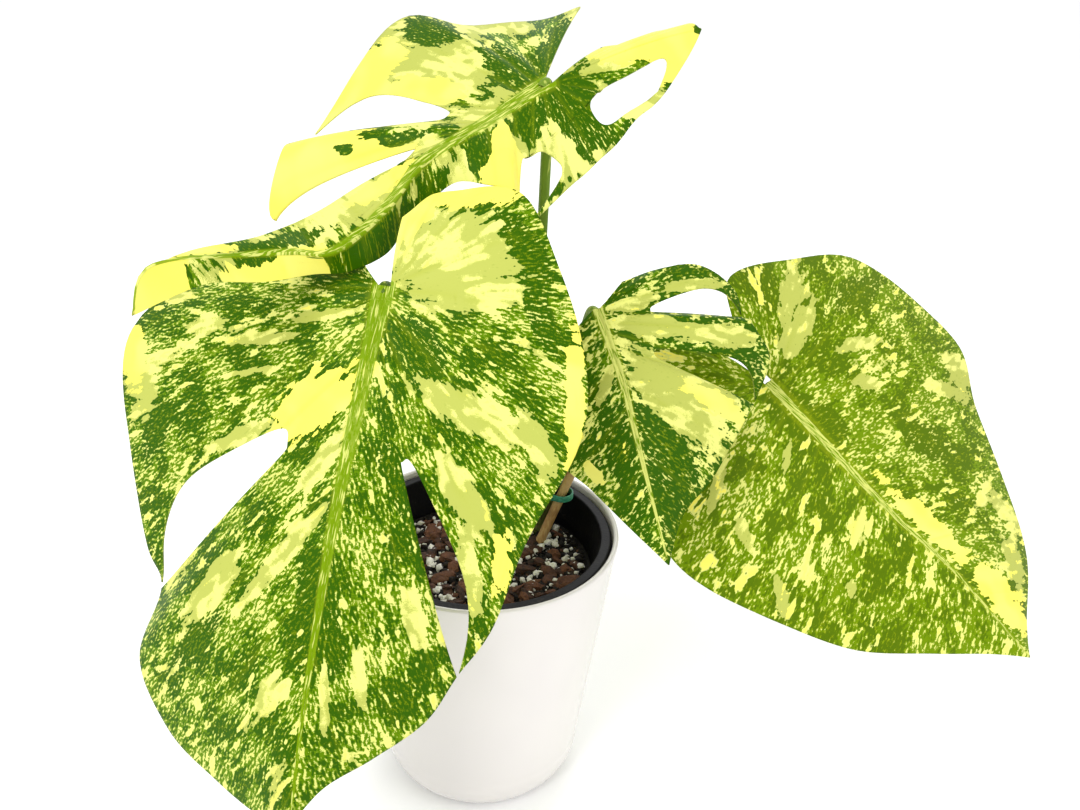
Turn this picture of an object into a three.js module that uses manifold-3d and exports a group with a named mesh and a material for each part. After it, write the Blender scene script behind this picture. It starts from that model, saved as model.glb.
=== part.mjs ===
// Potted variegated monstera: four leaves on petioles, in a nursery pot that
// stands inside a white glazed pot. Millimetres, +Z up, the front is -Y.
import * as THREE from "three";
import { mergeVertices } from "three/addons/utils/BufferGeometryUtils.js";
import Module from "manifold-3d";

const wasm = await Module();
wasm.setup();

// ---------------------------------------------------------------- sizes
const gap = 0.3;            // air left between two neighbouring pieces
const roundSteps = 40;      // segments around the pots and the soil

// White outer pot
const potHeight = 166;
const potRimRadius = 77.5;
const potWaistRadius = 60;  // where the foot curve meets the straight wall
const potWaistHeight = 25;
const potFootRadius = 43;   // flat underside
const potWall = 3;
const potFloor = 5;

// Black nursery pot, standing on the floor of the outer pot
const linerWall = 1.2;
const linerLipWidth = 6;
const linerLipDrop = 5;     // how far the rolled lip turns down
const linerBelowRim = 2.5;  // lip top below the rim of the outer pot
const linerBaseRadius = 40;
const linerFit = 0.5;       // radial play between lip and outer pot
const drainHoles = 6;
const drainHoleRadius = 5;

// Potting mix
const soilBelowRim = 25;
const soilDome = 3;
const soilRipple = 0.7;
const socketPlay = 0.4;     // room around what is pushed into the mix

// Stem, stake and tie. Heights are above the soil surface.
const stemRadius = 8;
const stemBearing = 45;     // degrees round the pot from +X
const stemWallGap = 1;      // room between the stem's foot and the nursery pot
const stemDepth = 30;       // length of stem below the soil surface
const stemHeight = 54;
const petioleRadius = 3;
const petioleSeat = 1.5;    // petiole end below the middle of the blade
const stakeRadius = 3;
const stakeLowOffset = new THREE.Vector3(-12, -22, -24);    // from the stem's axis
const stakeHighOffset = new THREE.Vector3(20, -5, 52);
const tieHeight = 4;
const tieBand = 1.2;
const tieLevel = 32;

// Leaves
const leafThickness = 1;
const midribHalfWidth = 1.2;   // percent of the leaf length, at the joint
const leafRows = 16;           // steps from midrib to margin
const columnsPerVein = 1.4;    // steps between two listed veins
const splitRound = 0.3;        // power: smaller is blunter at a split's inner end
const splitShut = 6;           // power: larger shuts a split closer to the margin

// Each leaf is written in its own frame, in percent of its length: "along"
// runs from the petiole joint to the tip, "across" to the right-hand side seen
// from the joint with the upper face up, "rise" out of the upper face.
// joint:        where the petiole meets the blade, the height above the soil
// midrib rows:  [along, across, rise]
// vein rows:    [station on the midrib 0..1, across, along, rise] of the point
//               where the vein meets the margin, from leaf base to leaf tip
// splits:       a cut beside a vein. "vein" is the row where it meets the margin,
//               "swerve" how many rows later it begins, "start" how far from the
//               midrib, "before" and "after" how far it opens towards the
//               neighbouring rows and how much it shuts again at the margin:
//               under 1 leaves it open, over 1 leaves a bridge round a hole.
const leaves = [
  {
    name: "leaf_front", color: 0x86a43a, length: 240,
    joint: [-45, -64, 197], azimuth: 252, dip: 59, roll: 0, arch: 3, sweep: 0,
    midrib: [[0, 0, 0], [20, 0, 2], [44, 0, 4], [77, 0, 3], [100, 0, 0]],
    halves: [
      {
        side: 1,
        veins: [
          [0, 7, -5, -4], [0, 25, -6, -10], [0, 46, 1, -14], [0.02, 60, 16, -14],
          [0.06, 55, 38, -14], [0.11, 48, 58, -16], [0.17, 43, 66, -16], [0.3, 44, 80, -14],
          [0.45, 34, 92, -12], [0.62, 20, 98, -8], [0.82, 8, 101, -4], [1, 0, 100, 0],
        ],
        splits: [{ vein: 6, swerve: 0.1, start: 0.3, before: [1.55, 0.93], after: [0.1, 0.93] }],
      },
      {
        side: -1,
        veins: [
          [0, -1.3, -13, 0], [0, -5, -17.5, -1], [0, -10, -19.7, -2], [0, -22, -21, -4],
          [0, -31, -8, -7], [0.02, -38, 8, -10], [0.04, -39, 23, -12], [0.07, -32, 42, -13],
          [0.1, -28, 60, -13], [0.13, -23, 70, -12], [0.34, -19, 79, -10],
          [0.55, -11, 87, -7], [0.8, -4, 93, -3], [1, 0, 100, 0],
        ],
        splits: [{ vein: 9, swerve: -0.15, start: 0.36, before: [1.05, 0.93], after: [0.05, 0.93] }],
      },
    ],
  },
  {
    name: "leaf_top", color: 0xa3b244, length: 213,
    joint: [29, 10, 273], azimuth: 216, dip: 14, roll: -15, arch: 2, sweep: 0,
    midrib: [
      [0, 0, 0], [17, 0, -3], [34, 0, -5], [47, -3, -10], [62, -6, -12], [70, -3, -10],
      [79, 0, -8], [97, 0, -1], [103, 0, -10],
    ],
    halves: [
      {
        side: 1,
        veins: [
          [0, 20, -27, 0], [0, 26, -15, -2], [0.02, 38, -4, -4], [0.05, 53, 3, -6],
          [0.1, 50, 19, -12], [0.17, 47, 36, -24], [0.21, 31, 52, -12], [0.25, 24, 60, -24],
          [0.36, 5, 38, -8], [0.46, 9, 46, -12], [0.56, 7, 57, -12], [0.7, 5, 72, -10],
          [0.88, 4, 91, -5], [1, 0, 103, -10],
        ],
        splits: [
          { vein: 5, swerve: 0, start: 0.2, before: [0.7, 0.93], after: [0.6, 0.93] },
          { vein: 7, swerve: 0, start: 0.2, before: [0.3, 0.93], after: [1, 0] },
        ],
      },
      {
        side: -1,
        veins: [
          [0, 1.4, -17.2, 1], [0, -1.8, -26.2, 2], [0, -5, -35.9, 3],
          [0, -8, -39, 3], [0, -9, -38, 1], [0, -15, -23, -4], [0, -17, -12, -6],
          [0, -18, -3, -10], [0.02, -19, 6, -12], [0.05, -21, 18, -14], [0.08, -21, 25, -16],
          [0.14, -18, 25, -8], [0.22, -11.5, 28.5, -8], [0.3, -5.5, 31.6, -10], [0.38, -4, 42, -16],
          [0.48, -6, 50, -19], [0.58, -6, 59, -19], [0.66, -4, 67, -17], [0.76, -4, 78, -13],
          [0.88, -3, 89, -8], [1, 0, 103, -10],
        ],
        splits: [
          { vein: 5, swerve: 0.7, start: 0.48, before: [1.15, 2.2], after: [1.7, 2.2] },
          { vein: 10, swerve: 0, start: 0.5, before: [1.9, 0.93], after: [0.3, 0] },
        ],
      },
    ],
  },
  {
    name: "leaf_middle", color: 0x9aad48, length: 132,
    joint: [56, -15, 167], azimuth: 297, dip: 54, roll: 10, arch: 3, sweep: 0,
    midrib: [[0, 0, 0], [29, 0, 5], [55, 0, 3], [100, 0, 0]],
    halves: [
      {
        side: 1,
        veins: [
          [0, 4.5, 4, -1], [0, 13.5, 8, -3], [0.05, 22, 16, -6], [0.15, 28, 36, -8],
          [0.3, 28, 52, -8], [0.5, 19, 66, -7], [0.75, 9, 84, -4], [1, 0, 100, 0],
        ],
        splits: [],
      },
      {
        side: -1,
        veins: [
          [0, -13, -8, -1], [0, -29, -10, -2], [0, -48, -9, -5], [0, -63, 3, -10],
          [0.03, -66, 14, -16], [0.06, -65, 18, -8], [0.1, -73, 33, -16], [0.14, -64, 49, -22],
          [0.2, -58, 52, -16], [0.45, -32, 74, -12], [0.7, -14, 84, -7], [1, 0, 100, 0],
        ],
        splits: [
          { vein: 4, swerve: 0, start: 0.31, before: [1.4, 0.93], after: [0.2, 0.93] },
          { vein: 7, swerve: 0, start: 0.26, before: [0.9, 0.93], after: [0.5, 0] },
        ],
      },
    ],
  },
  {
    name: "leaf_right", color: 0x8fa63c, length: 212,
    joint: [162, 33, 103], azimuth: 329, dip: 37, roll: 30, arch: 3, sweep: 0,
    midrib: [[0, 0, 0], [20, 2, 3], [46, 2, 3], [69, 1, 4], [100, 0, 0]],
    halves: [
      {
        side: 1,
        veins: [
          [0, 2.5, -13, -3], [0, 5, -21, -5], [0, 12.5, -28, -7], [0, 19, -24, -7],
          [0, 25, -14, -6], [0, 33, -6, -5], [0.02, 46, 3, -6],
          [0.06, 52, 14, -8], [0.14, 50, 28, -9], [0.28, 41, 48, -11], [0.46, 31, 67, -10],
          [0.66, 17, 82, -6], [0.84, 7, 92, -2], [1, 0, 100, 0],
        ],
        splits: [],
      },
      {
        side: -1,
        veins: [
          [0, -0.8, -9, -2], [0, -6, -17, -3], [0, -17, -28, -4], [0, -37, -20, -6], [0.02, -56, -8, -10],
          [0.08, -63, 11, -12], [0.2, -65, 34, -14], [0.34, -53, 50, -13], [0.5, -41, 69, -11],
          [0.68, -27, 86, -8], [0.86, -9, 95, -3], [1, 0, 100, 0],
        ],
        splits: [],
      },
    ],
  },
];

// ---------------------------------------------------------------- helpers
const material = (color, roughness, metalness = 0) =>
  new THREE.MeshStandardMaterial({ color, roughness, metalness });

function piece(name, geometry, look) {
  const mesh = new THREE.Mesh(geometry, look);
  mesh.name = name;
  return mesh;
}

function toSolid(geometry) {
  const bare = new THREE.BufferGeometry();
  bare.setAttribute("position", geometry.attributes.position.clone());
  if (geometry.index) bare.setIndex(geometry.index.clone());
  const merged = mergeVertices(bare, 1e-4);
  return new wasm.Manifold(new wasm.Mesh({
    numProp: 3,
    vertProperties: new Float32Array(merged.attributes.position.array),
    triVerts: new Uint32Array(merged.index.array),
  }));
}

function fromSolid(solid) {
  const mesh = solid.getMesh();
  const geometry = new THREE.BufferGeometry();
  geometry.setAttribute("position", new THREE.BufferAttribute(mesh.vertProperties, 3));
  geometry.setIndex(new THREE.BufferAttribute(mesh.triVerts, 1));
  geometry.computeVertexNormals();
  return geometry;
}

// Points on an arc in the (radius, height) plane of a turned profile.
function profileArc(centerR, centerZ, radiusR, radiusZ, from, to, steps) {
  const points = [];
  for (let i = 0; i <= steps; i++) {
    const angle = THREE.MathUtils.degToRad(from + (to - from) * i / steps);
    const r = centerR + radiusR * Math.cos(angle);
    const z = centerZ + radiusZ * Math.sin(angle);
    points.push(new THREE.Vector2(r, z));
  }
  return points;
}

// A turned solid standing on Z. The profile runs from axis to axis, upwards
// on the outside.
function turned(points) {
  const geometry = new THREE.LatheGeometry(points, roundSteps);
  geometry.rotateX(Math.PI / 2);
  return geometry;
}

function rod(radius, from, to, steps = 20) {
  const length = from.distanceTo(to);
  const geometry = new THREE.CylinderGeometry(radius, radius, length, steps);
  geometry.rotateX(Math.PI / 2);
  const direction = to.clone().sub(from).normalize();
  const turn = new THREE.Quaternion().setFromUnitVectors(new THREE.Vector3(0, 0, 1), direction);
  geometry.applyQuaternion(turn);
  const middle = from.clone().add(to).multiplyScalar(0.5);
  geometry.translate(middle.x, middle.y, middle.z);
  return geometry;
}

function tube(radius, points, steps) {
  const disc = new THREE.Shape();
  disc.absarc(0, 0, radius, 0, 2 * Math.PI);
  return new THREE.ExtrudeGeometry(disc, {
    steps,
    curveSegments: 8,
    bevelEnabled: false,
    extrudePath: new THREE.CatmullRomCurve3(points),
  });
}

// ---------------------------------------------------------------- pots
// Outside radius of the straight wall of the outer pot at a height.
function potRadius(z) {
  const share = (z - potWaistHeight) / (potHeight - potWaistHeight);
  return potWaistRadius + (potRimRadius - potWaistRadius) * share;
}

function outerPot() {
  const footCurve = potWaistRadius - potFootRadius;
  const lip = potWall / 2;
  const lipCenter = potHeight - lip;
  const points = [
    new THREE.Vector2(0, 0),
    ...profileArc(potFootRadius, potWaistHeight, footCurve, potWaistHeight, -90, 0, 7),
    ...profileArc(potRadius(lipCenter) - lip, lipCenter, lip, lip, 0, 180, 6),
    ...profileArc(potFootRadius - potWall, potWaistHeight + potFloor,
      footCurve, potWaistHeight, 0, -90, 6),
    new THREE.Vector2(0, potFloor),
  ];
  return turned(points);
}

const linerTop = potHeight - linerBelowRim;
const linerBottom = potFloor + gap;
const linerLipRadius = potRadius(linerTop - linerLipDrop) - potWall - linerFit;
const linerMouthRadius = linerLipRadius - linerLipWidth;

// Outside radius of the nursery pot wall at a height.
function linerRadius(z) {
  const share = (z - linerBottom) / (linerTop - linerBottom);
  return linerBaseRadius + (linerMouthRadius + linerWall - linerBaseRadius) * share;
}

function nurseryPot() {
  const lipBulge = linerLipDrop / 3;
  const lipMiddle = (linerMouthRadius + linerLipRadius) / 2;
  const lipHalf = linerLipWidth / 2;
  const lipEdge = linerTop - lipBulge;
  const underLip = linerTop - linerLipDrop;
  const points = [
    new THREE.Vector2(0, linerBottom),
    new THREE.Vector2(linerBaseRadius, linerBottom),
    new THREE.Vector2(linerRadius(underLip), underLip),
    new THREE.Vector2(linerLipRadius, underLip),
    ...profileArc(lipMiddle, lipEdge, lipHalf, lipBulge, 0, 180, 8),
    new THREE.Vector2(linerRadius(underLip) - linerWall, underLip),
    new THREE.Vector2(linerBaseRadius - linerWall, linerBottom + linerWall),
    new THREE.Vector2(0, linerBottom + linerWall),
  ];
  let solid = toSolid(turned(points));
  for (let i = 0; i < drainHoles; i++) {
    const angle = 2 * Math.PI * i / drainHoles;
    const reach = linerBaseRadius * 0.62;
    const at = new THREE.Vector3(reach * Math.cos(angle), reach * Math.sin(angle), 0);
    const low = at.clone().setZ(linerBottom - linerWall);
    const high = at.clone().setZ(linerBottom + 2 * linerWall);
    solid = solid.subtract(toSolid(rod(drainHoleRadius, low, high, 14)));
  }
  return fromSolid(solid);
}

// ---------------------------------------------------------------- soil
const soilTop = potHeight - soilBelowRim;
const soilRadius = linerRadius(soilTop) - linerWall - gap;
const stemReach = linerRadius(soilTop - stemDepth) - linerWall - stemRadius - stemWallGap;
const stemFoot = new THREE.Vector3(stemReach, 0, soilTop)
  .applyAxisAngle(new THREE.Vector3(0, 0, 1), THREE.MathUtils.degToRad(stemBearing));
const stemTop = soilTop + stemHeight;
const stakeLow = stemFoot.clone().add(stakeLowOffset);
const stakeHigh = stemFoot.clone().add(stakeHighOffset);

// Height of the soil surface above a point of the ground plane.
function soilHeight(x, y) {
  const share = Math.min(1, Math.hypot(x, y) / soilRadius);
  const ripple = Math.sin(x * 0.19 + 1.3) * Math.cos(y * 0.23) + Math.sin((x - y) * 0.11);
  return soilTop + soilDome * (1 - share * share) + soilRipple * ripple * (1 - share ** 4);
}

function soil() {
  const bottom = linerBottom + linerWall + gap;
  const bottomRadius = linerRadius(bottom) - linerWall - 2 * gap;
  const points = [new THREE.Vector2(0, bottom), new THREE.Vector2(bottomRadius, bottom)];
  const rings = 8;
  for (let i = 0; i <= rings; i++) {
    points.push(new THREE.Vector2(soilRadius * (1 - i / rings), soilTop));
  }
  const geometry = turned(points);
  const spots = geometry.attributes.position;
  for (let i = 0; i < spots.count; i++) {
    if (spots.getZ(i) > soilTop - gap) {
      spots.setZ(i, soilHeight(spots.getX(i), spots.getY(i)));
    }
  }
  let solid = toSolid(geometry);
  solid = solid.subtract(toSolid(rod(stemRadius + socketPlay,
    new THREE.Vector3(stemFoot.x, stemFoot.y, soilTop - stemDepth - socketPlay),
    new THREE.Vector3(stemFoot.x, stemFoot.y, potHeight))));
  const lean = stakeHigh.clone().sub(stakeLow).normalize();
  const socketEnd = stakeLow.clone().addScaledVector(lean, -socketPlay);
  solid = solid.subtract(toSolid(rod(stakeRadius + socketPlay, socketEnd, stakeHigh)));
  return fromSolid(solid);
}

// ---------------------------------------------------------------- stem
function stem() {
  const low = new THREE.Vector3(stemFoot.x, stemFoot.y, soilTop - stemDepth);
  const high = new THREE.Vector3(stemFoot.x, stemFoot.y, stemTop);
  return rod(stemRadius, low, high, 24);
}

// Band around two upright rods: two arcs joined by their outer tangents.
function bandOutline(Path, radiusA, radiusB, distance) {
  const lean = Math.acos((radiusA - radiusB) / distance);
  const outline = new Path();
  outline.absarc(0, 0, radiusA, lean, 2 * Math.PI - lean, false);
  outline.absarc(distance, 0, radiusB, -lean, lean, false);
  outline.closePath();
  return outline;
}

function tie() {
  const lean = stakeHigh.clone().sub(stakeLow);
  const atBand = (z) => stakeLow.clone().addScaledVector(lean, (z - stakeLow.z) / lean.z);
  const level = soilTop + tieLevel;
  const middle = atBand(level);
  const drift = atBand(level + tieHeight / 2).distanceTo(middle);
  const toStake = new THREE.Vector2(middle.x - stemFoot.x, middle.y - stemFoot.y);
  const insideA = stemRadius + socketPlay;
  const insideB = stakeRadius + socketPlay + drift;
  const distance = toStake.length();
  const shape = bandOutline(THREE.Shape, insideA + tieBand, insideB + tieBand, distance);
  shape.holes.push(bandOutline(THREE.Path, insideA, insideB, distance));
  const geometry = new THREE.ExtrudeGeometry(shape, {
    depth: tieHeight, bevelEnabled: false, curveSegments: 10,
  });
  geometry.rotateZ(toStake.angle());
  geometry.translate(stemFoot.x, stemFoot.y, level - tieHeight / 2);
  return geometry;
}

// ---------------------------------------------------------------- leaves
// Unit vectors of a leaf: across, along and out of the upper face.
function leafAxes(leaf) {
  const azimuth = THREE.MathUtils.degToRad(leaf.azimuth);
  const dip = THREE.MathUtils.degToRad(leaf.dip);
  const roll = THREE.MathUtils.degToRad(leaf.roll);
  const along = new THREE.Vector3(
    Math.cos(dip) * Math.cos(azimuth), Math.cos(dip) * Math.sin(azimuth), -Math.sin(dip));
  const level = new THREE.Vector3(
    Math.sin(dip) * Math.cos(azimuth), Math.sin(dip) * Math.sin(azimuth), Math.cos(dip));
  const side = along.clone().cross(level);
  const face = level.clone().multiplyScalar(Math.cos(roll));
  face.addScaledVector(side, Math.sin(roll));
  return { across: along.clone().cross(face), along, face };
}

// Where the petiole meets the blade.
function jointOf(leaf) {
  const [x, y, height] = leaf.joint;
  return new THREE.Vector3(x, y, soilTop + height);
}

// Smooth curve through a list of rows, read at a fractional row number.
function smoothRow(rows, at) {
  const i = Math.min(Math.floor(at), rows.length - 2);
  const t = at - i;
  const a = rows[Math.max(i - 1, 0)];
  const b = rows[i];
  const c = rows[i + 1];
  const d = rows[Math.min(i + 2, rows.length - 1)];
  return b.map((_, k) => 0.5 * (2 * b[k] + (c[k] - a[k]) * t
    + (2 * a[k] - 5 * b[k] + 4 * c[k] - d[k]) * t * t
    + (3 * b[k] - a[k] - 3 * c[k] + d[k]) * t * t * t));
}

// Point of the midrib at a station 0..1, as [across, along, rise]. Stations
// are shares of the distance along the leaf, so the row number is looked up.
function midribPoint(leaf, station) {
  const rows = leaf.midrib;
  const reach = station * rows[rows.length - 1][0];
  let i = 0;
  while (i < rows.length - 2 && rows[i + 1][0] < reach) i++;
  const share = (reach - rows[i][0]) / (rows[i + 1][0] - rows[i][0]);
  const [along, across, rise] = smoothRow(rows, i + share);
  return [across, along, rise];
}

// Point of one leaf half: row number along the margin, share of the way out.
function bladePoint(leaf, half, row, out) {
  const i = Math.min(Math.floor(row), half.veins.length - 2);
  const station = THREE.MathUtils.lerp(half.veins[i][0], half.veins[i + 1][0], row - i);
  const root = midribPoint(leaf, station);
  root[0] += half.side * midribHalfWidth * (1 - station);
  const margin = smoothRow(half.veins, row).slice(1);
  const bulge = 4 * out * (1 - out) * Math.hypot(margin[0], margin[1] - root[1]) / 50;
  const point = root.map((value, k) => value + (margin[k] - value) * out);
  point[1] -= bulge * leaf.sweep;
  point[2] += bulge * leaf.arch;
  return { station, point };
}

// Row number at one edge of a split for a share of the way out. The opening is
// round at the inner end and shuts again towards the margin.
function splitEdge(split, side, out) {
  const travel = Math.max(0, (out - split.start) / (1 - split.start));
  const [width, shut] = split[side];
  const opening = Math.max(0, width * travel ** splitRound * (1 - shut * travel ** splitShut));
  return split.vein + split.swerve * (1 - travel) + (side === "after" ? opening : -opening);
}

// The thin middle sheet of one leaf: points in leaf percent and triangles.
function leafSheet(leaf) {
  const points = [];
  const triangles = [];
  const add = (point) => points.push(point) - 1;
  const ribRows = leaf.halves.map((half) => {
    const rib = [];
    const last = half.veins.length - 1;
    const bounds = [null, ...half.splits, null];
    for (let lobe = 0; lobe + 1 < bounds.length; lobe++) {
      const [lowSplit, highSplit] = [bounds[lobe], bounds[lobe + 1]];
      const low = lowSplit ? lowSplit.vein : 0;
      const high = highSplit ? highSplit.vein : last;
      const columns = Math.max(2, Math.round((high - low) * columnsPerVein));
      const grid = [];
      for (let r = 0; r <= leafRows; r++) {
        const out = r / leafRows;
        const from = lowSplit ? splitEdge(lowSplit, "after", out) : 0;
        const to = highSplit ? splitEdge(highSplit, "before", out) : last;
        grid.push([]);
        for (let c = 0; c <= columns; c++) {
          const spot = bladePoint(leaf, half, from + (to - from) * c / columns, out);
          const index = add(spot.point);
          grid[r].push(index);
          if (r === 0) rib.push({ station: spot.station, index });
        }
      }
      for (let r = 0; r < leafRows; r++) {
        for (let c = 0; c < columns; c++) {
          const [a, b, d, e] = [grid[r][c], grid[r + 1][c], grid[r][c + 1], grid[r + 1][c + 1]];
          if (half.side > 0) triangles.push([a, b, d], [d, b, e]);
          else triangles.push([a, d, b], [d, e, b]);
        }
      }
    }
    return rib;
  });
  // The strip along the midrib joins the inner rows of the two halves.
  const [right, left] = ribRows;
  let i = 0;
  let j = 0;
  while (i + 1 < right.length || j + 1 < left.length) {
    const rightNext = i + 1 < right.length ? right[i + 1].station : Infinity;
    const leftNext = j + 1 < left.length ? left[j + 1].station : Infinity;
    if (rightNext <= leftNext) {
      triangles.push([left[j].index, right[i].index, right[i + 1].index]);
      i++;
    } else {
      triangles.push([left[j].index, right[i].index, left[j + 1].index]);
      j++;
    }
  }
  return { points, triangles };
}

// Closed blade of even thickness grown to both sides of a leaf sheet.
function leafBlade(leaf) {
  const { across, along, face } = leafAxes(leaf);
  const sheet = leafSheet(leaf);
  const scale = leaf.length / 100;
  const places = sheet.points.flatMap(([u, v, w]) => jointOf(leaf)
    .addScaledVector(across, u * scale)
    .addScaledVector(along, v * scale)
    .addScaledVector(face, w * scale)
    .toArray());
  let middle = new THREE.BufferGeometry();
  middle.setAttribute("position", new THREE.Float32BufferAttribute(places, 3));
  middle.setIndex(sheet.triangles.flat());
  middle = mergeVertices(middle, 0.02);
  const order = middle.index.array;
  const faces = [];
  for (let k = 0; k < order.length; k += 3) {
    const [a, b, c] = [order[k], order[k + 1], order[k + 2]];
    if (a !== b && b !== c && c !== a) faces.push([a, b, c]);
  }
  middle.setIndex(faces.flat());
  middle.computeVertexNormals();
  const spot = middle.attributes.position;
  const normal = middle.attributes.normal;
  const count = spot.count;
  const skin = new Float32Array(count * 6);
  for (let n = 0; n < count; n++) {
    const at = new THREE.Vector3().fromBufferAttribute(spot, n);
    const out = new THREE.Vector3().fromBufferAttribute(normal, n);
    at.clone().addScaledVector(out, leafThickness / 2).toArray(skin, n * 3);
    at.clone().addScaledVector(out, -leafThickness / 2).toArray(skin, (count + n) * 3);
  }
  const edges = new Set(faces.flatMap(([a, b, c]) => [`${a},${b}`, `${b},${c}`, `${c},${a}`]));
  const closed = [];
  for (const [a, b, c] of faces) {
    closed.push(a, b, c, count + c, count + b, count + a);
    for (const [m, n] of [[a, b], [b, c], [c, a]]) {
      if (!edges.has(`${n},${m}`)) closed.push(n, m, count + m, n, count + m, count + n);
    }
  }
  const blade = new THREE.BufferGeometry();
  blade.setAttribute("position", new THREE.BufferAttribute(skin, 3));
  blade.setIndex(closed);
  blade.computeVertexNormals();
  return blade;
}

// Petiole from the side of the stem, a little below its top, to just under the
// joint of its leaf.
function petiole(leaf, bearing, drop, lift) {
  const { face } = leafAxes(leaf);
  const angle = THREE.MathUtils.degToRad(bearing);
  const reach = stemRadius + petioleRadius + 4 * gap;
  const start = new THREE.Vector3(
    stemFoot.x + reach * Math.cos(angle), stemFoot.y + reach * Math.sin(angle), stemTop - drop);
  const joint = jointOf(leaf);
  const end = joint.clone().addScaledVector(face, -leafThickness / 2 - petioleSeat);
  const neck = joint.clone().addScaledVector(face, -4 * petioleRadius);
  const clear = start.clone().setZ(stemTop + petioleRadius);
  const middle = clear.clone().lerp(neck, 0.5).add(new THREE.Vector3(0, 0, lift));
  return tube(petioleRadius, [start, clear, middle, neck, end], 16);
}

// ---------------------------------------------------------------- crumbs
// Rough pebble lying on the soil: a stretched many-sided solid.
function pebble(shareX, shareY, size, stretch, turn, flat) {
  const geometry = new THREE.DodecahedronGeometry(size);
  geometry.scale(stretch, 1, flat);
  geometry.rotateZ(THREE.MathUtils.degToRad(turn));
  geometry.translate(shareX * soilRadius, shareY * soilRadius, 0);
  geometry.computeBoundingBox();
  let top = -Infinity;
  const spots = geometry.attributes.position;
  for (let i = 0; i < spots.count; i++) {
    top = Math.max(top, soilHeight(spots.getX(i), spots.getY(i)));
  }
  geometry.translate(0, 0, top + gap - geometry.boundingBox.min.z);
  return geometry;
}

// ---------------------------------------------------------------- assembly
const white = material(0xf4f2ee, 0.12);
const black = material(0x17181b, 0.45);
const earth = material(0x33241c, 0.95);
const green = material(0x5c7427, 0.5);
const wood = material(0xb08a5c, 0.75);
const teal = material(0x2f8f7d, 0.45);
const bark = material(0x8a4a25, 0.85);
const perlite = material(0xece9e2, 0.9);

const group = new THREE.Group();
group.name = "potted_variegated_monstera";

const pots = new THREE.Group();
pots.name = "pots";
pots.add(piece("outer_pot", outerPot(), white));
pots.add(piece("nursery_pot", nurseryPot(), black));
pots.add(piece("soil", soil(), earth));
group.add(pots);

const support = new THREE.Group();
support.name = "support";
support.add(piece("stem", stem(), green));
support.add(piece("stake", rod(stakeRadius, stakeLow, stakeHigh, 16), wood));
support.add(piece("plant_tie", tie(), teal));
group.add(support);

const [front, top, middle, right] = leaves;
const petioles = [
  { name: "petiole_front", leaf: front, bearing: 225, drop: 14, lift: 18 },
  { name: "petiole_top", leaf: top, bearing: 120, drop: 10, lift: 0 },
  { name: "petiole_middle", leaf: middle, bearing: 10, drop: 10, lift: 12 },
  { name: "petiole_right", leaf: right, bearing: 55, drop: 12, lift: 22 },
];
const foliage = new THREE.Group();
foliage.name = "foliage";
for (const { name, leaf, bearing, drop, lift } of petioles) {
  foliage.add(piece(name, petiole(leaf, bearing, drop, lift), green));
}
for (const leaf of leaves) {
  foliage.add(piece(leaf.name, leafBlade(leaf), material(leaf.color, 0.38)));
}
group.add(foliage);

// x and y as shares of the soil radius, then size, stretch, turn and flatness
const barkChips = [
  [0.78, -0.34, 6, 1.5, 20, 0.45], [0.2, -0.6, 5, 1.6, 80, 0.4],
  [0.52, -0.66, 4.5, 1.4, 140, 0.5], [-0.36, -0.28, 5, 1.7, 35, 0.4],
  [-0.48, 0.42, 5, 1.5, 110, 0.45],
];
const perliteGrains = [
  [0.64, -0.1, 2.6], [0.44, -0.42, 2.4], [0.9, -0.08, 2.2], [0.04, -0.84, 2.4],
  [-0.64, -0.22, 2.6], [0, 0.7, 2.5],
];
const crumbs = new THREE.Group();
crumbs.name = "crumbs";
barkChips.forEach((chip, i) => {
  crumbs.add(piece(`bark_chip_${i + 1}`, pebble(...chip), bark));
});
perliteGrains.forEach(([x, y, size], i) => {
  crumbs.add(piece(`perlite_${i + 1}`, pebble(x, y, size, 1.2, 50 * i, 0.8), perlite));
});
group.add(crumbs);

export default group;
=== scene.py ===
# %% [markdown]
# # A potted variegated monstera
# Four broad leaves stand on long petioles above a black nursery pot, which is
# dropped into a tapered white glazed pot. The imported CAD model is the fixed
# frame. This notebook rebuilds each visible surface finely in its place, from
# the same sizes: the leaves as sheets of a two-parameter formula, the stalks as
# tubes carried along a path, the pots as turned profiles and the potting mix as
# a rippled disc strewn with grains.

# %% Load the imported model
import math

import bpy
import numpy as np
from mathutils import Matrix, Vector


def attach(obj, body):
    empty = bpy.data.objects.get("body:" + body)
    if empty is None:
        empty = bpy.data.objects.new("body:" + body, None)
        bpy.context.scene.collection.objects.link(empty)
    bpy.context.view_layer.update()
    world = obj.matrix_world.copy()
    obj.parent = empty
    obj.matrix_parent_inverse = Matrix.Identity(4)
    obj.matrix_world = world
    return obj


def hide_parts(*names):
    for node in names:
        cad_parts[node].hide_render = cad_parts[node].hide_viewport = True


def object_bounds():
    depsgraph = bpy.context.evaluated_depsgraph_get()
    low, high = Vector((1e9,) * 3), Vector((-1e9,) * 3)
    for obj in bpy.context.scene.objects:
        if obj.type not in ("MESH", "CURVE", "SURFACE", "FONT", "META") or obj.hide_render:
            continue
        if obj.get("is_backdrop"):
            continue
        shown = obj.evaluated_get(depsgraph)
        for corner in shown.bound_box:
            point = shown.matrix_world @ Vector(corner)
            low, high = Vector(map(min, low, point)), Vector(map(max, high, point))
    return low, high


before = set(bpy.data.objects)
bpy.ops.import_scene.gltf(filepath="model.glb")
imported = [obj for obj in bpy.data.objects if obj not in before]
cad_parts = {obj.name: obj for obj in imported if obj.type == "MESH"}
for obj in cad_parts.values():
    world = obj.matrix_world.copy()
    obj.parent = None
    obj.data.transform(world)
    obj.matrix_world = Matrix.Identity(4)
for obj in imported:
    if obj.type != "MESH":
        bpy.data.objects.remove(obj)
cad_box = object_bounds()
MM = 0.001
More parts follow.
